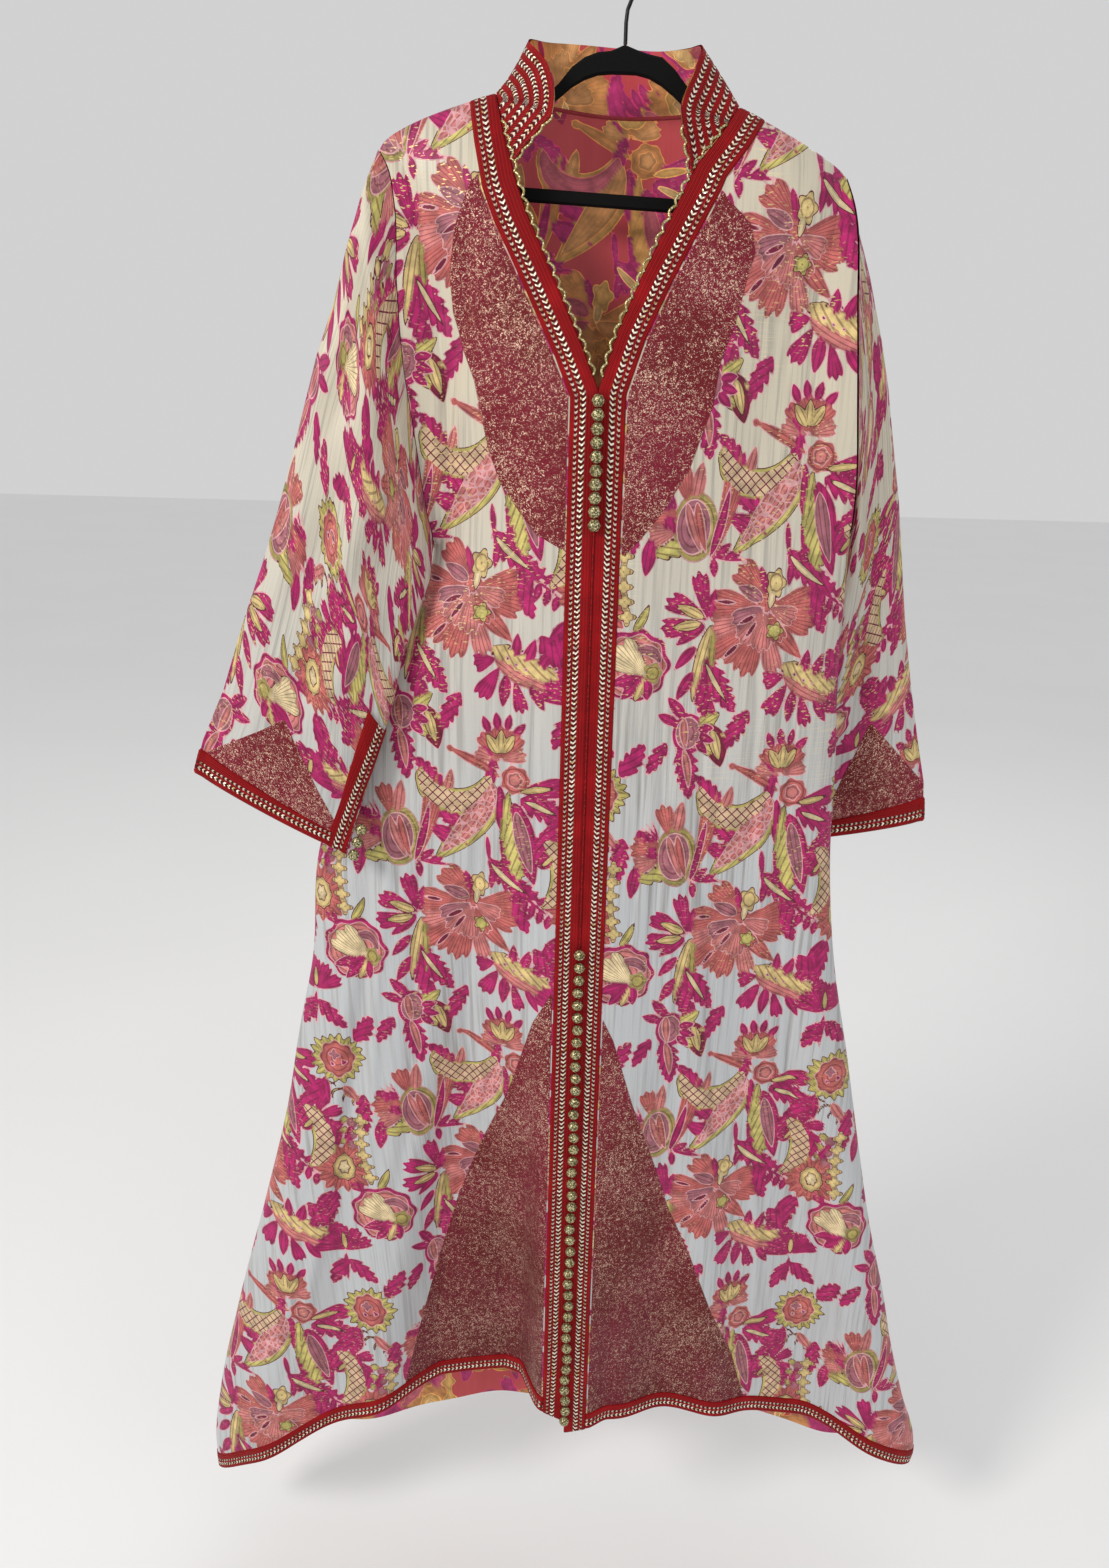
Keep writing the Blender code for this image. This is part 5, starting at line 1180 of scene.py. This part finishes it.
def makeSleeve(side):
    part = sides[side]
    steps = np.linspace(0, 1, fine["sleeveRows"])
    turns = np.linspace(-math.pi, math.pi, fine["sleeveColumns"])
    front, backEdge = fronts[side]["grid"], backSurface(rows, np.array((0.0, 1.0)))[0]
    loop = armholeLoop(front, backEdge, rows, 0 if side == "left" else -1, part["hand"])
    grid, normals = sleeveSurface(part, loop, steps, turns)
    # cloth millimetres: round from the outer fold, and down the sleeve
    ring = np.linalg.norm(np.diff(grid, axis=1), axis=-1)
    around = np.concatenate([np.zeros((len(steps), 1)), np.cumsum(ring, axis=1)], axis=1)
    middle = np.argmin(np.abs(turns))
    around = around - around[:, middle:middle + 1]
    down = np.linalg.norm(alongLine(part["outer"], steps) - np.array(part["outer"][0]), axis=1)
    if side == "left":
        u = around * 1000
    else:
        lean = math.radians(fine["lean"])
        u = -(around * math.cos(lean) + down[:, None] * math.sin(lean)) * 1000
    v = -(down[:, None] + 0 * around) * 1000
    uv = np.stack([u, v], -1) / 1000
    obj = clothShell("sleeveCloth" + side.title(), grid, normals, kaftan["wall"] / 2, brocade, uv)
    canvas = newCanvas(u, v)
    paintRepeats(canvas, fine["sleeve" + side.title()])
    storeCanvas(obj, canvas, cuffGlitter(side, grid.reshape(-1, 3)))
    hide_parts("sleeve_" + side)
    inside = reverseShell("sleeveReverse" + side.title(), grid, normals, (6, 4), fine["sleeveReverse"])
    return {"loop": loop, "cloth": obj, "reverse": inside}


# Cuff glitter: a peak above the cuff, as x and z of its corners
cuffPeaks = {"left": ((-0.412, -0.752), (-0.319, -0.709), (-0.266, -0.830)),
             "right": ((0.374, -0.800), (0.303, -0.726), (0.262, -0.840))}


def cuffGlitter(side, points):   # millimetres under the two lines of the peak
    a, peak, c = (np.array(corner) for corner in cuffPeaks[side])
    best = np.full(len(points), 99.0)
    for first, second in ((a, peak), (peak, c)):
        along = unit(second - first)
        across = np.array((along[1], -along[0]))
        if across[1] > 0:
            across = -across
        best = np.minimum(best, (points[:, [0, 2]] - first) @ across * 1000)
    return np.clip(best, -9, 99)


sleeves = {side: makeSleeve(side) for side in ("left", "right")}
print("sleeves made")

# Braid. Each is a ridged strip on its panel's outer points.
braid = {"rise": 0.00035, "thick": 0.0016, "rim": 0.0001, "bandPoints": 18, "hemPoints": 12,
         "bandCords": 7, "hemCords": 5, "topRow": 0.0012, "hemColumns": 0.943,
         # shares of the sleeve's length and of half a turn
         "cuffRow": 1 - 0.018 / 0.42, "cuffSpan": 0.78, "slitRow": 0.585, "slitSpan": 0.767}


def ridged(share, cords):   # a row of low rounded cords across the braid, level at both edges
    edges = np.sqrt(np.clip(1 - (2 * share - 1) ** 8, 0, 1))
    return edges * (0.72 + 0.28 * np.abs(np.sin(share * cords * math.pi)))


def lengthsOf(points, axis):   # way along an axis of a grid, from its start
    steps = np.linalg.norm(np.diff(points, axis=axis), axis=-1)
    zero = np.zeros_like(np.take(steps, [0], axis=axis))
    return np.concatenate([zero, np.cumsum(steps, axis=axis)], axis=axis)


def strip(name, surface, facing, material, cords):
    # surface is along by across; its height over the panel follows the cords, and its rim comes down to it
    share = np.linspace(0, 1, surface.shape[1])
    lift = kaftan["wall"] / 2 + braid["rise"] + braid["thick"] * ridged(share, cords)[None, :, None]
    rim = surface + facing * (kaftan["wall"] / 2 + braid["rim"])
    points = np.pad(rim, ((1, 1), (1, 1), (0, 0)), mode="edge")
    points[1:-1, 1:-1] = surface + facing * lift
    uv = np.stack([lengthsOf(surface, 1), lengthsOf(surface, 0)], -1)
    uv = np.pad(uv, ((1, 1), (1, 1), (0, 0)), mode="edge")
    outward = np.pad(facing, ((1, 1), (1, 1), (0, 0)), mode="edge").reshape(-1, 3)
    faces = turnedOut(points.reshape(-1, 3), gridFaces(*points.shape[:2]), outward)
    return meshObject(name, points.reshape(-1, 3), faces, material, uv.reshape(-1, 2))


def edgeStrip(name, grid, facing):   # braid along the lower edge of a surface whose rows run down
    grid, facing = grid[::-1].transpose(1, 0, 2), facing[::-1].transpose(1, 0, 2)
    return strip(name, grid, facing, hemBraid, braid["hemCords"])


def frontColumns(part, some, start, share):
    # the front's surface at columns that differ from row to row, read off a fine grid row by row
    columns = np.linspace(0, 1, 400)
    grid, normals, _ = frontSurface(part, some, columns)
    where = (start[:, None] + (1 - start[:, None]) * share) * (len(columns) - 1)
    low = np.clip(np.floor(where).astype(int), 0, len(columns) - 2)
    rest = (where - low)[..., None]
    line = np.arange(len(some))[:, None]
    points = grid[line, low] * (1 - rest) + grid[line, low + 1] * rest
    return points, unit(normals[line, low] * (1 - rest) + normals[line, low + 1] * rest)


def makeBands():
    bandRows = rows[rows >= braid["topRow"]]
    for side in ("left", "right"):
        front = fronts[side]
        # the strip's own columns run from the band's outer edge to the closed edge on every row
        start = np.interp(bandRows, rows, front["edge"])
        grid, facing = frontColumns(sides[side], bandRows, start, np.linspace(0, 1, braid["bandPoints"]))
        obj = strip("frontBand" + side.title(), grid, facing, bandBraid, braid["bandCords"])
        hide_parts("front_band_" + side)
        front["band"], front["bandEdge"], front["bandFacing"] = obj, grid[:, -1], facing[:, -1]


def makeHems():
    some = np.linspace(kaftan["hemRow"], 1, braid["hemPoints"])
    for side in ("left", "right"):
        grid, facing, _ = frontSurface(sides[side], some, np.linspace(0, 1, 150) * braid["hemColumns"])
        fronts[side]["hem"] = edgeStrip("hemBraid" + side.title(), grid, facing)
        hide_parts("hem_braid_front_" + side)
    obj = edgeStrip("hemBraidBack", *backSurface(some, np.linspace(0, 1, 240)))
    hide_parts("hem_braid_back")
    return obj


def makeCuffs():
    for side in ("left", "right"):
        sleeve, part = sleeves[side], sides[side]
        steps = np.linspace(braid["cuffRow"], 1, braid["hemPoints"])
        turns = np.linspace(-math.pi * braid["cuffSpan"], math.pi * braid["cuffSpan"], 150)
        cuff = edgeStrip("cuffBraid" + side.title(), *sleeveSurface(part, sleeve["loop"], steps, turns))
        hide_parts("cuff_braid_" + side)
        sleeve["cuff"] = cuff
        steps = np.linspace(braid["slitRow"], 1, 90)
        for name, end in (("Front", -math.pi), ("Back", math.pi)):
            turns = np.linspace(end, end * braid["slitSpan"], braid["bandPoints"])
            grid, facing = sleeveSurface(part, sleeve["loop"], steps, turns)
            facing[:, 0], facing[:, -1] = facing[:, 1], facing[:, -2]
            obj = strip("slitBraid" + side.title() + name, grid, facing, bandBraid, braid["bandCords"])
            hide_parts("slit_braid_" + side + "_" + name.lower())
            sleeve["slit" + name] = obj


makeBands()
hemBack = makeHems()
makeCuffs()
print("braid made")

# Collar, from its seam line up to its top edge
collarShape = {
    # share round from left front to right front, x, y, z of the top edge
    "top": ((0.00, -0.062, -0.040, -0.150), (0.05, -0.060, -0.038, -0.134), (0.13, -0.067, -0.024, -0.106),
            (0.22, -0.084, -0.002, -0.083), (0.30, -0.068, 0.030, -0.077), (0.42, -0.034, 0.046, -0.075),
            (0.52, -0.004, 0.050, -0.076), (0.64, 0.036, 0.044, -0.079), (0.74, 0.062, 0.026, -0.080),
            (0.81, 0.072, -0.002, -0.084), (0.89, 0.066, -0.022, -0.106), (0.96, 0.054, -0.038, -0.140),
            (1.00, 0.056, -0.040, -0.156)),
    "wall": 0.0022, "rows": 18, "columns": 170, "collarRow": 0.043, "seam": 0.0012, "swell": 0.001,
}


def makeCollar():
    left, right = fronts["left"]["grid"], fronts["right"]["grid"]
    held = rows <= collarShape["collarRow"]
    neck = kaftan["backNeck"]
    span = (backColumns > neck) & (backColumns < 1 - neck)
    base = np.concatenate([left[held, -1][::-1], backGrid[0, span], right[held, -1]])
    share = np.linspace(0, 1, collarShape["columns"])
    base = alongLine(base, share)
    top = np.stack([throughRows(collarShape["top"], share, k) for k in (1, 2, 3)], -1)
    base = base + unit(top - base) * collarShape["seam"]
    height = np.linspace(0, 1, collarShape["rows"])[:, None, None]
    grid = base + (top - base) * height
    out = unit((base - base.mean(axis=0)) * np.array((1, 1, 0)))
    grid = grid + out * collarShape["swell"] * np.sin(height * math.pi)
    normals = gridNormals(grid, (grid - grid.mean(axis=(0, 1))) * np.array((1, 1, 0)))
    tall = np.linalg.norm(top - base, axis=1)
    # the outer face's chains run beside the free edge, so u is the way in from it and v the way along it
    rim = alongLine(np.concatenate([grid[:-1, 0], top, grid[-2::-1, -1]]), np.linspace(0, 1, 500))
    away = np.linalg.norm(grid[:, :, None] - rim[None, None], axis=-1)
    u = away.min(axis=-1)
    v = away.argmin(axis=-1) / (len(rim) - 1) * lengthsOf(rim[None], 1)[0, -1]
    half = collarShape["wall"] / 2
    face = clothShell("collarFace", grid, normals, half, collarBraid, np.stack([u, v], -1))
    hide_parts("collar")
    uv = clothUv(grid[..., 0], grid[..., 2])
    inside = clothShell("collarReverse", grid, -normals, half, brocadeReverse, uv)
    canvas = newCanvas(lengthsOf(base[None], 1) * 1000 + 0 * u, (1 - height[..., 0]) * tall * 1000)
    paintRepeats(canvas, (150, 40), reverseThreads)
    storeCanvas(inside, canvas)
    return face, inside, grid + normals * half


collarFace, collarInside, collarOuter = makeCollar()


def tube(name, path, radius, sides, material):
    # rings of an even number of sides, square to the path
    ahead = unit(np.gradient(path, axis=0))
    side = unit(np.cross(ahead, np.array((0.03, 1.0, 0.02))))
    up = np.cross(side, ahead)
    turn = (np.arange(sides) * 2 * math.pi / sides)[None, :, None]
    ring = side[:, None] * np.cos(turn) + up[:, None] * np.sin(turn)
    points = (path[:, None] + ring * radius).reshape(-1, 3)
    index = np.arange(len(path) * sides).reshape(len(path), sides)
    turned = np.roll(index, -1, axis=1)
    faces = np.stack([index[:-1], index[1:], turned[1:], turned[:-1]], -1).reshape(-1, 4)
    caps = [[line[0], line[k], line[k + 1], line[k + 2]]
            for line in (index[0], index[-1][::-1]) for k in range(1, sides - 2, 2)]
    faces = turnedOut(points, np.concatenate([faces, caps]), ring.reshape(-1, 3))
    return meshObject(name, points, faces, material, None)


# Metres of each cord; the rise and the heights are those of the neck cord
edging = {"picot": 0.0120, "swing": 0.0034, "radius": 0.0012, "rise": 0.0022, "neckZ": (-0.372, -0.150),
          "collarOut": 0.0006, "piping": 0.0015}


def scallops(line, toward, out):   # the line, swung out by the size of a sine in even steps
    count = max(3, int(np.linalg.norm(np.diff(line, axis=0), axis=1).sum() / edging["picot"]))
    share = np.linspace(0, 1, count * 8 + 1)
    swing = edging["swing"] * np.abs(np.sin(share * count * math.pi)) + out
    return alongLine(line, share) + toward * swing[:, None]


def makeCords():
    # gold cord in scallops along the neck's inner edge and up the collar's front, and red cord beside it
    low, high = edging["neckZ"]
    for side, first, step in (("left", 0, 3), ("right", -1, -4)):
        toward = unit(np.array((-sides[side]["hand"], 0, 0.25)))
        line = fronts[side]["bandEdge"] + fronts[side]["bandFacing"] * edging["rise"]
        line = line[(line[:, 2] > low) & (line[:, 2] < high)]
        rim, inward = collarOuter[:, first], collarOuter[:, step]
        tube("neckCord" + side.title(), scallops(line, toward, 0), edging["radius"], 6, cordGold)
        tube("collarCord" + side.title(), scallops(rim, toward, edging["collarOut"]), edging["radius"], 6,
             cordGold)
        tube("collarPiping" + side.title(), alongLine(inward * 0.2 + rim * 0.8, np.linspace(0, 1, 60)),
             edging["piping"], 8, redCord)


def redMaterial(name):
    n = Nodes(name)
    place = n.place()
    ply = n.noise(n.scaled(place, (700, 700, 500)), 1, 2)
    colour = n.mix(n.ramp(ply, 0.4, 0.6), braidLook["deep"], braidLook["red"])
    return n.finish(colour=colour, rough=0.65, normal=n.bump(ply, 0.6, 0.0004), sheen=0.04, specular=0.22)


redCord = redMaterial("redCord")
makeCords()


def makeNeckSeam():   # a soft coral binding along the inside of the back neck seam
    neck = kaftan["backNeck"]
    span = (backColumns > neck) & (backColumns < 1 - neck)
    path = backGrid[0, span] + np.array((0, -0.0006, 0.0004))
    n = Nodes("seamBinding")
    ply = n.noise(n.place(), 500, 2)
    tone = n.mix(ply, (0.24, 0.018, 0.028), (0.42, 0.06, 0.07))
    coral = n.finish(colour=tone, rough=0.7, specular=0.2)
    tube("neckSeam", alongLine(path, np.linspace(0, 1, 120)), 0.0021, 8, coral)


makeNeckSeam()
print("collar and cords made")

# Buttons: balls of knotted cord
knots = {"radius": 0.0060, "depth": 0.0052, "topCount": 10, "topZ": (-0.393, -0.509),
         "lowCount": 42, "lowZ": (-0.966, -1.582), "rings": 13, "sides": 20, "relief": 0.09,
         "sway": 0.0012, "lowSize": 0.97, "cordZ": (-0.386, -0.960), "cordRadius": 0.0009}


def balls(name, centres, size, material, rings, around):
    # a ball whose radius ripples along two crossing spirals, as a knot's strands do
    tall = np.linspace(0, math.pi, rings + 1)[1:-1]
    turn = np.arange(around) * 2 * math.pi / around
    lat, lon = np.meshgrid(tall, turn, indexing="ij")
    strands = np.abs(np.sin(lon * 2 + lat * 3)) + np.abs(np.sin(lon * 2 - lat * 3))
    ripple = 1 + knots["relief"] * (strands - 1.2)
    ball = np.stack([np.sin(lat) * np.cos(lon) * ripple, np.sin(lat) * np.sin(lon) * ripple,
                     np.cos(lat) * ripple], -1).reshape(-1, 3)
    ball = np.concatenate([ball, [[0, 0, 0.96], [0, 0, -0.96]]]) * np.array(size)
    index = np.arange(len(tall) * around).reshape(len(tall), around)
    turned = np.roll(index, -1, axis=1)
    quads = np.stack([index[:-1], index[1:], turned[1:], turned[:-1]], -1).reshape(-1, 4)
    top, low = len(ball) - 2, len(ball) - 1
    half = index[0, ::2], index[0, 1::2], np.roll(index[0, ::2], -1)
    capTop = np.stack([np.full(around // 2, top), half[0], half[1], half[2]], -1)
    last = index[-1]
    capLow = np.stack([np.full(around // 2, low), np.roll(last[::2], -1), last[1::2], last[::2]], -1)
    faces = np.concatenate([quads, capTop, capLow])
    points = (centres[:, None] + ball[None]).reshape(-1, 3)
    faces = (faces[None] + (np.arange(len(centres)) * len(ball))[:, None, None]).reshape(-1, 4)
    return meshObject(name, points, faces, material, None)


def frontOfBand(z):   # y of the left band's front at these heights of the closed edge
    edge = fronts["left"]["bandEdge"]
    order = np.argsort(edge[:, 2])
    rise = kaftan["wall"] / 2 + braid["rise"] + braid["thick"]
    return np.interp(z, edge[order, 2], edge[order, 1]) - rise


def makeButtons():
    size = np.array((knots["radius"], knots["depth"], knots["radius"]))
    for name, count, span in (("topButtons", knots["topCount"], knots["topZ"]),
                              ("lowerButtons", knots["lowCount"], knots["lowZ"])):
        z = np.linspace(*span, count)
        y = frontOfBand(z) - kaftan["gap"] - knots["depth"]
        if name == "topButtons":
            centres = np.stack([np.full(count, kaftan["centreX"]), y, z], -1)
            obj = balls(name, centres, size, knotGold, knots["rings"], knots["sides"])
            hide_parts(*[f"button_{number:02d}" for number in range(1, count + 1)])
        else:
            sway = knots["sway"] * np.sin(np.arange(count) * 1.3) * np.linspace(0.3, 1, count)
            centres = np.stack([kaftan["centreX"] + sway, y, z], -1)
            obj = balls(name, centres, size * knots["lowSize"], knotGold, 9, 14)
            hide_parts("buttons_lower_row")
    for side in ("left", "right"):
        names = [f"button_cuff_{side}_{number}" for number in (1, 2, 3)]
        centres = np.array([np.mean(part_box(name), axis=0) for name in names])
        obj = balls("cuffButtons" + side.title(), centres, size, knotGold, knots["rings"], knots["sides"])
        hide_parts(*names)


def makeClosingCord():   # a thin cord down the closed edge, between the two rows of buttons
    z = np.linspace(*knots["cordZ"], 260)
    path = np.stack([np.full(len(z), kaftan["centreX"]), frontOfBand(z) - 0.0002, z], -1)
    tube("closingCord", path, knots["cordRadius"], 6, redCord)


makeButtons()
makeClosingCord()
print("buttons made")

for node, material in (("hanger_frame", velvetBlack), ("hanger_hook", hookWire)):
    obj = bpy.data.objects[node]
    obj.data.materials.clear()
    obj.data.materials.append(material)


studio = {"floorZ": -1.86, "floor": (0.86, 0.86, 0.86), "world": 0.64}


def makeStudio():
    size = 14.0
    points = np.array(((-size, -size, 0), (size, -size, 0), (size, size, 0), (-size, size, 0)), float)
    points[:, 2] = studio["floorZ"]
    mesh = bpy.data.meshes.new("floor")
    mesh.from_pydata(points.tolist(), [], [(0, 1, 2, 3)])
    n = Nodes("paleFloor")
    tone = n.mix(n.noise(n.place(), 1.5, 2), studio["floor"], (0.90, 0.90, 0.90))
    mesh.materials.append(n.finish(colour=tone, rough=0.9, specular=0.1))
    floor = bpy.data.objects.new("floor", mesh)
    bpy.context.scene.collection.objects.link(floor)
    world = bpy.data.worlds.new("studio")
    world.use_nodes = True
    world.node_tree.nodes["Background"].inputs[0].default_value = (1.0, 1.0, 1.0, 1)
    world.node_tree.nodes["Background"].inputs[1].default_value = studio["world"]
    bpy.context.scene.world = world
    lamps = (("key", (-2.2, -1.9, 1.0), (0, 0, -0.5), 60, 0.9, (1.0, 0.97, 0.92)),
             ("fill", (2.2, -2.4, -0.2), (0, 0, -0.9), 8, 1.6, (0.93, 0.96, 1.0)),
             ("rim", (0.6, 2.6, 1.2), (0, 0, -0.7), 16, 2.0, (1.0, 1.0, 1.0)))
    for name, place, target, power, size, colour in lamps:
        data = bpy.data.lights.new(name, "AREA")
        data.energy, data.size, data.color = power, size, colour
        lamp = bpy.data.objects.new(name, data)
        lamp.location = place
        lamp.rotation_euler = (Vector(target) - Vector(place)).to_track_quat("-Z", "Y").to_euler()
        bpy.context.scene.collection.objects.link(lamp)


makeStudio()
bpy.context.scene.view_settings.view_transform = "Standard"
print("studio made")
